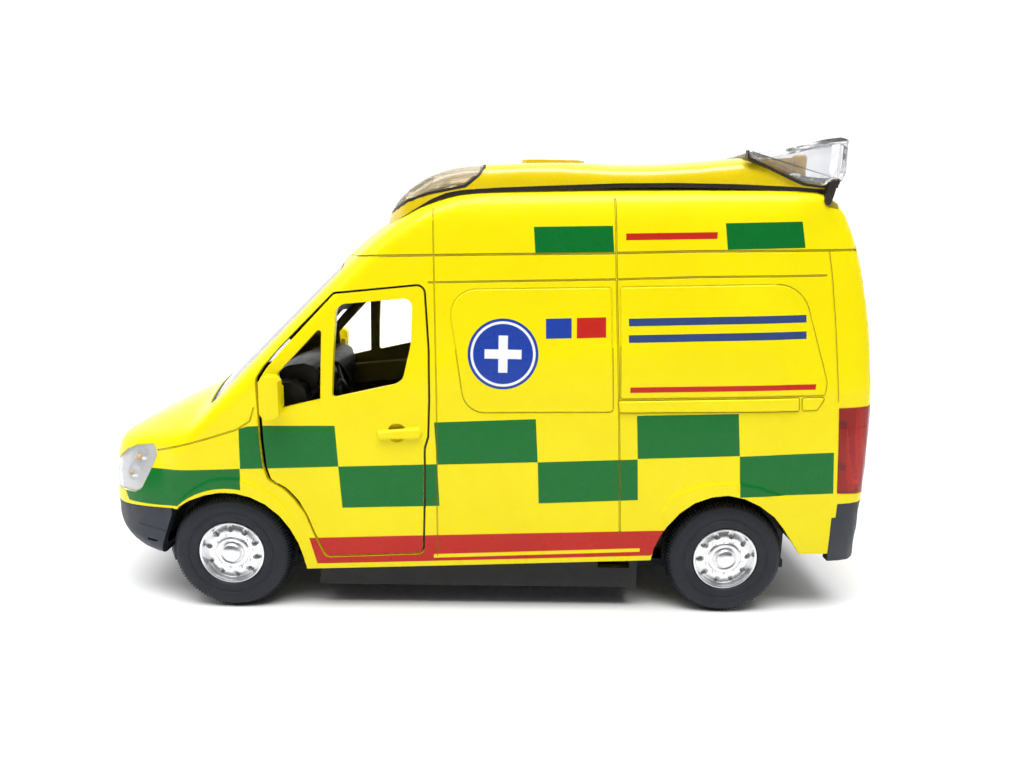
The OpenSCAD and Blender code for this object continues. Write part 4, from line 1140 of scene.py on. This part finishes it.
steer = torus("steering_wheel_form", 5.6, 0.54)
hub = lathe("hub", [(0, 0.62), (1.1, 0.5), (1.7, 0.1), (1.75, -0.4), (1.2, -0.7), (1.2, -9.3), (0, -9.3)], 32)
boolean(steer, hub, "UNION")
for a in (90, 210, 330):
    sp = soft_box("sp", (0.8, -0.5, -0.32), (5.4, 0.5, 0.32), 0.2, 2)
    sp.data.transform(Matrix.Rotation(math.radians(a), 4, "Z"))
    boolean(steer, sp, "UNION")
steer.data.transform(wheel_m)
smooth_ob(steer, 40)

# floor moulding with the wheel housings and the partition behind the seats
floor_line = [(62, -17.6), (62, 17.6), (36, 17.6), (34.6, 27.4), (-34.4, 27.4), (-35, 17.6), (-67.6, 17.6), (-68, 27), (-74.4, 27),
              (-74.4, -27), (-68, -27), (-67.6, -17.6), (-35, -17.6), (-34.4, -27.4), (34.6, -27.4), (36, -17.6)]
inside = prism("interior_form", floor_line, "z", 14.72, 15.78)
wells = []
for x, z, r in ((50.7, 11.2, 15.0), (-50.8, 11.3, 15.5)):
    for s in (1, -1):
        w = rod("w", (x, s * 17.6, z), (x, s * 27.6, z), r + 1.1, 72, 0.6)
        boolean(w, rod("w", (x, s * 18.6, z), (x, s * 30, z), r, 72))
        boolean(w, soft_box("w", (x - 30, -40, -20), (x + 30, 40, 14.74), 0.01, 1))
        wells.append(w)
part = soft_box("part", (6.2, -25.6, 15.6), (7.4, 25.6, 70), 0.25, 2)
boolean(part, soft_prism("hole", rounded([(-9, 46), (9, 46), (9, 62), (-9, 62)], 2.0, 8), "x", 5, 9, 0.2, 2))
for y in (-17.5, 17.5):
    boolean(part, soft_prism("rib", rounded([(y - 4.6, 28), (y + 4.6, 28), (y + 4.6, 60), (y - 4.6, 60)], 1.5), "x", 7.1, 8.5, 0.35, 2))
wells.append(part)
for x in range(-70, 4, 4):
    wells.append(soft_box("rib", (x - 0.5, -15.5, 15.5), (x + 0.5, 15.5, 16.05), 0.2, 2))
for w in wells:
    boolean(inside, w, "UNION")
boolean(inside, body_solid("c", -2.35, 90, 180, 24), "INTERSECT")
smooth_ob(inside, 35)

# a stop behind the door's top, rear and lower edges, on the inside of the body
door_stops = []
for s in (1, -1):
    st = body_solid("door_stop", -1.75, 110, 220, 34)
    boolean(st, prism("c", offset_poly(door_line, 1.0), "y", *((20, 40) if s > 0 else (-40, -20))), "INTERSECT")
    boolean(st, prism("c", offset_poly(door_line, -1.0), "y", -45, 45))
    boolean(st, prism("c", [(60, -5), (31.5, -5), (31.5, 26), (37.2, 50), (37.2, 56.5), (44, 56.5), (60, 56.5)], "y", -45, 45))
    boolean(st, body_solid("in", -2.25, 110, 220, 34))
    door_stops.append(st)
door_stop = join_solids(door_stops, "door_stop_strips")
smooth_ob(door_stop, 35)

# sill flanges with the pilot holes of the base screws
flanges = []
for s in (1, -1):
    for x in (-28, 28):
        z0 = 9.8 if x < 0 else 9.4
        fl = soft_box("f", (x - 3, min(s * 17, s * 25.6), z0), (x + 3, max(s * 17, s * 25.6), 12.2), 0.25, 2)
        z1, z2 = (12.1, 13.8) if x < 0 else (10.0, 12.2)
        boolean(fl, soft_box("f", (x - 2.95, min(s * 17.05, s * 29.2), z1), (x + 2.95, max(s * 17.05, s * 29.2), z2), 0.25, 2), "UNION")
        boolean(fl, rod("f", (x, s * 20, 0), (x, s * 20, 20), 0.95, 24))
        flanges.append(fl)
flange = join_solids(flanges, "body_screw_flanges")
boolean(flange, body_solid("c", -0.8, 60, 120, 20), "INTERSECT")
smooth_ob(flange, 35)


# ---------------------------------------------------------------- materials
def col(r, g, b):
    return (r, g, b, 1.0)


class Nodes:
    """Short names for building a material's nodes."""

    def __init__(self, name):
        self.m = bpy.data.materials.new(name)
        self.m.use_nodes = True
        self.t = self.m.node_tree
        self.t.nodes.clear()
        self.out = self.t.nodes.new("ShaderNodeOutputMaterial")
        self.b = self.t.nodes.new("ShaderNodeBsdfPrincipled")
        self.link(self.b.outputs[0], self.out.inputs[0])
        self.tc = self.t.nodes.new("ShaderNodeTexCoord")
        s = self.t.nodes.new("ShaderNodeVectorMath")
        s.operation = "SCALE"
        s.inputs["Scale"].default_value = 1000.0
        self.link(self.tc.outputs["Object"], s.inputs[0])
        self.p = s.outputs[0]

    def link(self, a, b):
        self.t.links.new(a, b)

    def put(self, sock, v):
        if hasattr(v, "is_output"):
            self.link(v, sock)
        else:
            sock.default_value = v

    def math(self, op, a, b=0.0, c=0.0, clamp=False):
        n = self.t.nodes.new("ShaderNodeMath")
        n.operation = op
        n.use_clamp = clamp
        self.put(n.inputs[0], a)
        self.put(n.inputs[1], b)
        self.put(n.inputs[2], c)
        return n.outputs[0]

    def noise(self, scale, detail=3.0, rough=0.5, lo=0.0, hi=1.0, vec=None, a=0.3, b=0.7):
        n = self.t.nodes.new("ShaderNodeTexNoise")
        n.inputs["Scale"].default_value = scale
        n.inputs["Detail"].default_value = detail
        n.inputs["Roughness"].default_value = rough
        self.link(vec or self.p, n.inputs["Vector"])
        r = self.t.nodes.new("ShaderNodeMapRange")
        r.inputs["From Min"].default_value = a
        r.inputs["From Max"].default_value = b
        r.inputs["To Min"].default_value = lo
        r.inputs["To Max"].default_value = hi
        self.link(n.outputs["Fac"], r.inputs["Value"])
        return r.outputs[0]

    def mix(self, f, a, b, kind="MIX"):
        n = self.t.nodes.new("ShaderNodeMix")
        n.data_type = "RGBA"
        n.blend_type = kind
        self.put(n.inputs["Factor"], f)
        self.put(n.inputs["A"], a)
        self.put(n.inputs["B"], b)
        return n.outputs["Result"]

    def dot(self, nx, nz):
        n = self.t.nodes.new("ShaderNodeVectorMath")
        n.operation = "DOT_PRODUCT"
        self.link(self.p, n.inputs[0])
        n.inputs[1].default_value = (nx, 0.0, nz)
        return n.outputs["Value"]

    def poly(self, pts, soft=0.07):
        """1 inside a convex outline of the side view."""
        p = np.array(pts, float)
        area = np.sum(p[:, 0] * np.roll(p[:, 1], -1) - np.roll(p[:, 0], -1) * p[:, 1])
        if area < 0:
            p = p[::-1]
        best = None
        for a, b in zip(p, np.roll(p, -1, 0)):
            d = (b - a) / np.linalg.norm(b - a)
            n = (-d[1], d[0])
            v = self.math("SUBTRACT", self.dot(n[0], n[1]), float(n[0] * a[0] + n[1] * a[1]))
            best = v if best is None else self.math("MINIMUM", best, v)
        return self.math("MULTIPLY_ADD", best, 1.0 / soft, 0.5, True)

    def disc(self, c, r, soft=0.07):
        n = self.t.nodes.new("ShaderNodeVectorMath")
        n.operation = "MULTIPLY_ADD"
        self.link(self.p, n.inputs[0])
        n.inputs[1].default_value = (1.0, 0.0, 1.0)
        n.inputs[2].default_value = (-c[0], 0.0, -c[1])
        ln = self.t.nodes.new("ShaderNodeVectorMath")
        ln.operation = "LENGTH"
        self.link(n.outputs[0], ln.inputs[0])
        return self.math("MULTIPLY_ADD", self.math("SUBTRACT", r, ln.outputs["Value"]), 1.0 / soft, 0.5, True)

    def bump(self, height, strength, dist=0.1, normal=None):
        n = self.t.nodes.new("ShaderNodeBump")
        n.inputs["Strength"].default_value = strength
        n.inputs["Distance"].default_value = dist * MM
        self.link(height, n.inputs["Height"])
        if normal is not None:
            self.link(normal, n.inputs["Normal"])
        return n.outputs[0]

    def bevel(self, r):
        n = self.t.nodes.new("ShaderNodeBevel")
        n.samples = 4
        n.inputs["Radius"].default_value = r * MM
        return n.outputs[0]

    def set(self, **kw):
        for k, v in kw.items():
            self.put(self.b.inputs[k.replace("_", " ")], v)
        return self


YELLOW = col(0.91, 0.775, 0.0035)
GREEN = col(0.004, 0.155, 0.024)
RED = col(0.53, 0.022, 0.014)
BLUE = col(0.018, 0.055, 0.36)
SLATE = col(0.035, 0.065, 0.19)
WHITE = col(0.86, 0.87, 0.88)

GREENS = [
    [(47.9, 38.95), (46.2, 39.5), (43.1, 39.75), (28.9, 40.0), (28.35, 31.6), (47.95, 30.75)],
    [(28.4, 31.6), (8.7, 32.4), (8.2, 23.6), (27.8, 22.9)],
    [(9.3, 41.0), (-10.8, 42.0), (-11.4, 33.1), (8.7, 32.3)],
    [(-11.4, 33.1), (-31.4, 34.0), (-31.9, 25.4), (-11.8, 24.4)],
    [(-30.8, 43.0), (-51.0, 43.7), (-51.9, 35.0), (-31.4, 34.1)],
    [(-51.9, 34.9), (-71.0, 35.9), (-71.8, 27.2), (-52.6, 26.3)],
    [(-9.6, 79.2), (-24.8, 79.7), (-25.2, 74.6), (-10.0, 74.1)],
    [(-46.5, 80.6), (-61.5, 81.2), (-62.4, 76.2), (-47.1, 75.6)],
]


def paint(name, livery):
    n = Nodes(name)
    tone = n.noise(0.06, 3.0, 0.5, 0.0, 1.0)
    c = n.mix(tone, YELLOW, col(0.88, 0.735, 0.003))
    marks = None
    if livery:
        g = None
        for q in GREENS:
            v = n.poly(q)
            g = v if g is None else n.math("MAXIMUM", g, v)
        fender = n.poly([(48.05, 30.8), (80, 28.85), (74.2, 26.4), (73.35, 21.0), (62, 22.0), (48.05, 22.0)])
        fender = n.poly([(48.05, 30.8), (76, 29.1), (73.6, 24.0), (73.4, 21.9), (65.4, 22.25), (48.05, 22.25)])
        fender = n.math("MULTIPLY", fender, n.math("SUBTRACT", 1.0, n.disc((50.75, 11.15), 15.45)))
        g = n.math("MAXIMUM", g, fender)
        wear = n.noise(0.5, 6.0, 0.65, 0.0, 0.16, None, 0.5, 0.8)
        green = n.mix(wear, GREEN, col(0.03, 0.2, 0.06))
        c = n.mix(g, c, green)
        red = n.poly([(34.75, 16.25), (8.1, 17.3), (-24.5, 18.4), (-38.9, 18.9), (-35.3, 13.25), (-4.2, 12.0), (33.3, 10.55)])
        strip = n.poly([(9.4, 13.0), (-32.9, 14.85), (-32.9, 14.1), (9.4, 12.2)])
        red = n.math("MULTIPLY", red, n.math("SUBTRACT", 1.0, strip))
        c = n.mix(red, c, n.mix(tone, RED, col(0.48, 0.018, 0.012)))
        # plain marks: a ringed blue disc with a white plus, and plain bars
        blue = n.disc((-4.1, 54.8), 6.9)
        ring = n.math("SUBTRACT", n.disc((-4.1, 54.8), 6.35), n.disc((-4.1, 54.8), 5.85))
        plus = n.math("MAXIMUM", n.poly([(-5.0, 51.2), (-3.2, 51.2), (-3.2, 58.4), (-5.0, 58.4)]),
                      n.poly([(-7.7, 53.9), (-0.5, 53.9), (-0.5, 55.7), (-7.7, 55.7)]))
        c = n.mix(blue, c, BLUE)
        c = n.mix(n.math("MAXIMUM", ring, plus), c, WHITE)
        c = n.mix(n.poly([(-27.4, 77.0), (-45.0, 77.6), (-45.05, 78.9), (-27.4, 78.3)]), c, RED)
        c = n.mix(n.poly([(-29.2, 47.6), (-66.0, 48.75), (-66.1, 49.85), (-29.2, 48.7)]), c, RED)
        bars = n.math("MAXIMUM", n.poly([(-28.6, 57.4), (-63.6, 58.7), (-63.5, 60.2), (-28.5, 58.9)]),
                      n.poly([(-28.5, 60.6), (-63.4, 61.9), (-63.3, 63.4), (-28.4, 62.1)]))
        c = n.mix(bars, c, SLATE)
        c = n.mix(n.poly([(-12.4, 57.9), (-17.4, 58.1), (-17.3, 62.0), (-12.3, 61.8)]), c, BLUE)
        c = n.mix(n.poly([(-18.4, 58.1), (-24.1, 58.35), (-24.0, 62.3), (-18.3, 62.05)]), c, RED)
        marks = n.math("MAXIMUM", g, red)
    orange_peel = n.noise(1.6, 2.0, 0.5, 0.0, 1.0)
    dust = n.noise(9.0, 2.0, 0.6, 0.0, 1.0, None, 0.62, 0.8)
    height = n.math("MULTIPLY_ADD", dust, 0.25, orange_peel)
    if marks is not None:
        height = n.math("MULTIPLY_ADD", marks, 0.6, height)
    n.set(Base_Color=c, Roughness=n.noise(0.35, 4.0, 0.6, 0.24, 0.34), Coat_Weight=0.14, Coat_Roughness=0.06,
          Specular_IOR_Level=0.16, Normal=n.bump(height, 0.06, 0.03, n.bevel(0.2)))
    return n.m


def plastic(name, base, alt, rough=(0.4, 0.55), scale=2.0, grain=0.12, gdist=0.04, bevel=0.0, coat=0.0, spec=0.5):
    n = Nodes(name)
    c = n.mix(n.noise(0.12, 4.0, 0.6), base, alt)
    fine = n.noise(scale, 4.0, 0.6)
    n.set(Base_Color=c, Roughness=n.noise(0.6, 4.0, 0.6, rough[0], rough[1]), Coat_Weight=coat, Specular_IOR_Level=spec,
          Normal=n.bump(fine, grain, gdist, n.bevel(bevel) if bevel else None))
    return n.m


def clear(name, tint, alt, rough=(0.01, 0.05), ior=1.49, bump=0.03, trans=1.0):
    n = Nodes(name)
    c = n.mix(n.noise(0.15, 3.0, 0.5), tint, alt)
    n.set(Base_Color=c, Roughness=n.noise(0.8, 4.0, 0.6, rough[0], rough[1]), IOR=ior, Transmission_Weight=trans,
          Normal=n.bump(n.noise(0.4, 2.0, 0.5), bump, 0.05))
    return n.m


def metal(name, base, alt, rough=(0.16, 0.3), scale=3.0, grain=0.06, metallic=1.0):
    n = Nodes(name)
    c = n.mix(n.noise(0.5, 5.0, 0.65), base, alt)
    n.set(Base_Color=c, Metallic=metallic, Roughness=n.noise(1.2, 5.0, 0.6, rough[0], rough[1]),
          Normal=n.bump(n.noise(scale, 3.0, 0.5), grain, 0.03))
    return n.m


def rubber():
    n = Nodes("tyre_rubber")
    dust = n.noise(1.3, 8.0, 0.75, 0.0, 1.0, None, 0.66, 0.74)
    c = n.mix(n.noise(0.2, 4.0, 0.6), col(0.009, 0.0115, 0.018), col(0.014, 0.017, 0.026))
    c = n.mix(n.math("MULTIPLY", dust, 0.25), c, col(0.22, 0.22, 0.22))
    n.set(Base_Color=c, Roughness=n.noise(0.9, 5.0, 0.6, 0.5, 0.66), Specular_IOR_Level=0.35,
          Normal=n.bump(n.noise(3.2, 4.0, 0.6), 0.22, 0.04))
    return n.m


M = {
    "paint": paint("yellow_paint_livery", True),
    "inner": paint("yellow_paint_plain", False),
    # painted shade: olive for the walls of the engraved lines
    "line": plastic("yellow_paint_line", col(0.33, 0.26, 0.003), col(0.25, 0.195, 0.002), (0.4, 0.55), 2.0, 0.15),
    # painted shade: dark olive for the faces inside the shell and doors
    "inside_shade": plastic("yellow_paint_shaded", col(0.13, 0.10, 0.002), col(0.09, 0.07, 0.002), (0.4, 0.55), 2.0, 0.15),
    "yellow": plastic("yellow_moulding", col(0.80, 0.61, 0.003), col(0.76, 0.57, 0.0025), (0.2, 0.3), 1.6, 0.08, 0.03, 0.15, 0.4),
    "dark": plastic("dark_trim_plastic", col(0.018, 0.023, 0.036), col(0.025, 0.030, 0.045), (0.42, 0.55), 3.5, 0.2, 0.04, 0.12, 0.0, 0.4),
    "gasket": plastic("gasket_black", col(0.016, 0.013, 0.010), col(0.024, 0.020, 0.016), (0.35, 0.5), 3.0, 0.15, 0.03),
    "black": plastic("black_cabin_plastic", col(0.012, 0.012, 0.014), col(0.019, 0.019, 0.022), (0.4, 0.52), 4.0, 0.25, 0.04, 0.12, 0.0, 0.35),
    "base": plastic("black_base_plastic", col(0.010, 0.011, 0.013), col(0.016, 0.017, 0.020), (0.46, 0.6), 2.6, 0.25, 0.05, 0.12, 0.0, 0.3),
    "glass": clear("clear_glazing_plastic", col(0.97, 0.98, 0.98), col(0.94, 0.96, 0.96)),
    "lens": clear("lamp_clear_plastic", col(0.97, 0.975, 0.985), col(0.92, 0.935, 0.96), (0.04, 0.14), 1.25, 0.08, 0.8),
    "crystal": clear("beacon_clear_plastic", col(0.96, 0.965, 0.98), col(0.86, 0.87, 0.9), (0.02, 0.1), 1.18, 0.25, 0.9),
    "smoke": clear("beacon_smoked_plastic", col(0.80, 0.72, 0.55), col(0.70, 0.62, 0.46), (0.04, 0.12), 1.3, 0.08, 0.85),
    "red": clear("tail_red_plastic", col(0.74, 0.036, 0.018), col(0.66, 0.025, 0.012), (0.06, 0.14), 1.4, 0.05, 0.8),
    "redback": plastic("tail_back_plastic", col(0.85, 0.16, 0.08), col(0.72, 0.10, 0.05), (0.3, 0.4), 3.0, 0.1),
    "amber": plastic("amber_parts_plastic", col(0.58, 0.37, 0.06), col(0.50, 0.32, 0.05), (0.25, 0.35), 2.0, 0.1, 0.03, 0.1, 0.3),
    "silver": metal("lamp_bowl_silver", col(0.90, 0.905, 0.92), col(0.80, 0.81, 0.83), (0.32, 0.45), 3.0, 0.06, 0.6),
    "rim": metal("wheel_rim_silver", col(0.90, 0.905, 0.92), col(0.78, 0.79, 0.82), (0.26, 0.38), 1.3, 0.5),
    "steel": metal("axle_steel", col(0.52, 0.52, 0.53), col(0.42, 0.42, 0.43), (0.25, 0.4)),
    "mirror": metal("mirror_glass_silver", col(0.86, 0.87, 0.88), col(0.8, 0.81, 0.82), (0.05, 0.12), 1.0, 0.02),
    "bulb": clear("lamp_bulb_plastic", col(0.95, 0.72, 0.35), col(0.9, 0.6, 0.25), (0.03, 0.08), 1.45, 0.03, 0.6),
    "motor": plastic("motor_grey_plastic", col(0.16, 0.16, 0.165), col(0.2, 0.2, 0.205), (0.4, 0.5), 3.0, 0.15),
    "tyre": rubber(),
}


def dress(ob, mats, body, slot, *nodes):
    me = ob.data
    idx = np.zeros(len(me.polygons), np.int32)
    if len(mats) > 1:
        me.polygons.foreach_get("material_index", idx)
    me.materials.clear()
    for m in mats:
        me.materials.append(M[m])
    me.polygons.foreach_set("material_index", idx)
    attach(ob, body)
    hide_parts(*nodes)
    return ob


dress(shell, ["paint", "inside_shade", "inner", "line"], "root", "yellow_paint", "body_shell")
dress(flange, ["inner"], "root", "yellow_paint", "body_shell")
dress(door_stop, ["gasket"], "root", "dark_trim", "body_shell")
for side, door, mir, rdoor, rglass in (("left", front_door, housing, rear_door, rear_glass_l),
                                       ("right", front_door_r, housing_r, rear_door_r, rear_glass_r)):
    dress(door, ["paint", "inside_shade", "inner", "line"], "front_door_" + side, "yellow_paint", "front_door_" + side)
    dress(mir, ["inner"], "front_door_" + side, "yellow_plastic", "mirror_" + side)
    dress(rdoor, ["paint", "inside_shade", "inner", "line"], "rear_door_" + side, "yellow_paint", "rear_door_" + side)
    dress(rglass, ["glass"], "rear_door_" + side, "clear_glazing", "rear_window_" + side)
dress(windscreen, ["glass"], "root", "clear_glazing", "windscreen")
dress(seal_out, ["gasket"], "root", "dark_trim", "windscreen")
dress(grille, ["dark"], "root", "dark_trim", "grille")
dress(badge, ["silver"], "root", "bright_rim", "grille")
dress(front_bumper, ["dark"], "root", "dark_trim", "front_bumper")
dress(rear_bumper, ["dark"], "root", "dark_trim", "rear_bumper")
for pair, mats, slots in ((head, ("lens", "silver", "bulb"), ("headlamp_clear", "bright_rim", "headlamp_clear")),
                          (tail, ("red", "redback", "gasket"), ("tail_red", "tail_red", "dark_trim"))):
    base = "headlamp_" if pair is head else "tail_lamp_"
    for (a, b), m, sl in zip(pair, mats, slots):
        dress(a, [m], "root", sl, base + "left")
        dress(b, [m], "root", sl, base + "right")
dress(fairing, ["yellow"], "root", "yellow_plastic", "roof_fairing")
dress(gasket, ["gasket"], "root", "dark_trim", "roof_fairing")
dress(front_lens, ["smoke"], "root", "smoked_amber", "front_beacon_lens")
dress(front_glow, ["silver"], "root", "bright_rim", "front_beacon_lens")
dress(rear_lens, ["crystal"], "root", "beacon_clear", "rear_beacon_lens")
dress(refl, ["amber"], "root", "amber", "beacon_reflectors")
dress(driver_seat, ["black"], "root", "black_plastic", "driver_seat")
dress(bench, ["black"], "root", "black_plastic", "passenger_seat")
dress(dash, ["black"], "root", "black_plastic", "dashboard")
dress(steer, ["black"], "root", "black_plastic", "steering_wheel")
dress(inside, ["base"], "root", "black_plastic", "interior_floor")
for ob, body, node_name, kind in wheels:
    dress(ob, ["tyre" if kind == "tyre" else "rim"], body, "tyre" if kind == "tyre" else "bright_rim", node_name)
for node_name, m in (("chassis_base", "base"), ("battery_cover", "base"), ("motor_block", "motor"), ("front_axle", "steel"),
                     ("rear_axle", "steel"), ("door_pins", "steel")):
    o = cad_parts[node_name]
    o.data.materials.clear()
    o.data.materials.append(M[m])

# ---------------------------------------------------------------- floor, light and camera
def floor_material():
    n = Nodes("studio_floor_white")
    sep = n.t.nodes.new("ShaderNodeSeparateXYZ")
    n.link(n.p, sep.inputs[0])
    r = n.t.nodes.new("ShaderNodeMapRange")
    r.interpolation_type = "SMOOTHSTEP"
    r.inputs["From Min"].default_value = 165.0
    r.inputs["From Max"].default_value = 205.0
    n.link(sep.outputs["Y"], r.inputs["Value"])
    c = n.mix(r.outputs[0], col(0.90, 0.90, 0.90), col(0.66, 0.66, 0.67))
    far = n.t.nodes.new("ShaderNodeMapRange")
    far.interpolation_type = "SMOOTHSTEP"
    far.inputs["From Min"].default_value = -70.0
    far.inputs["From Max"].default_value = -260.0
    far.inputs["To Max"].default_value = 0.5
    n.link(sep.outputs["Y"], far.inputs["Value"])
    n.b.inputs["Emission Color"].default_value = col(1, 1, 1)
    n.set(Base_Color=c, Roughness=0.6, Specular_IOR_Level=0.25, Emission_Strength=far.outputs[0])
    return n.m


fl = mesh_object("studio_floor", [(-4000, -4000, 0), (4000, -4000, 0), (4000, 4000, 0), (-4000, 4000, 0)], [(0, 1, 2, 3)])
fl.data.materials.append(floor_material())

scene = bpy.context.scene
scene.view_settings.view_transform = "Standard"
world = bpy.data.worlds.new("studio")
scene.world = world
world.use_nodes = True
wn = world.node_tree
wn.nodes.clear()
wo = wn.nodes.new("ShaderNodeOutputWorld")
bg = wn.nodes.new("ShaderNodeBackground")
wn.links.new(bg.outputs[0], wo.inputs[0])
tc = wn.nodes.new("ShaderNodeTexCoord")
sp = wn.nodes.new("ShaderNodeSeparateXYZ")
wn.links.new(tc.outputs["Generated"], sp.inputs[0])


def wmath(op, a, b=0.0, c=0.0, clamp=False):
    n = wn.nodes.new("ShaderNodeMath")
    n.operation = op
    n.use_clamp = clamp
    for i, v in enumerate((a, b, c)):
        if hasattr(v, "is_output"):
            wn.links.new(v, n.inputs[i])
        else:
            n.inputs[i].default_value = v
    return n.outputs[0]


# white behind the toy, dim at the viewer's side up to 40 degrees, brighter above
behind = wmath("MULTIPLY_ADD", sp.outputs["Y"], -4.0, 0.6, True)
above = wmath("MULTIPLY_ADD", sp.outputs["Z"], 2.6, -1.45, True)
front = wmath("MULTIPLY_ADD", above, 0.65, 0.05)
lum = wmath("ADD", wmath("MULTIPLY", behind, 1.2), wmath("MULTIPLY", wmath("SUBTRACT", 1.0, behind), front))
wn.links.new(lum, bg.inputs["Strength"])
bg.inputs["Color"].default_value = (1.0, 1.0, 1.0, 1.0)


def soft_light(name, loc, target, size, watts, colour=(1, 1, 1)):
    d = bpy.data.lights.new(name, "AREA")
    d.shape = "RECTANGLE"
    d.size, d.size_y = size
    d.energy = watts
    d.color = colour
    o = bpy.data.objects.new(name, d)
    scene.collection.objects.link(o)
    loc, target = Vector(loc), Vector(target)
    o.matrix_world = Matrix.Translation(loc) @ (target - loc).to_track_quat("-Z", "Y").to_matrix().to_4x4()
    return o


soft_light("top_softbox", (0.02, 0.27, 0.78), (0, 0.02, 0.03), (0.8, 0.34), 7.5)
soft_light("side_softbox", (0.62, 0.30, 0.62), (0, 0, 0.05), (0.3, 0.4), 0.7)

CAM = Vector((-3.82, 174.89, 80.27))
yaw, pitch, roll = math.radians(-1.00), math.radians(11.98), math.radians(1.15)
rz = Matrix.Rotation(yaw, 3, "Z")
r, u, f = rz @ Vector((-1, 0, 0)), rz @ Vector((0, 0, 1)), rz @ Vector((0, -1, 0))
f2, u2 = f * math.cos(pitch) - u * math.sin(pitch), u * math.cos(pitch) + f * math.sin(pitch)
r3, u3 = r * math.cos(roll) + u2 * math.sin(roll), -r * math.sin(roll) + u2 * math.cos(roll)
cam_data = bpy.data.cameras.new("camera")
cam_data.sensor_width = 36.0
cam_data.lens = 757.57 / 1024 * 36.0
cam_data.shift_x = -2.08 / 1024
cam_data.shift_y = -2.5 / 1024
cam_data.clip_start = 0.005
cam_data.clip_end = 20.0
cam = bpy.data.objects.new("camera", cam_data)
scene.collection.objects.link(cam)
cam.matrix_world = Matrix.Translation(CAM * MM) @ Matrix((r3, u3, -f2)).transposed().to_4x4()
scene.camera = cam
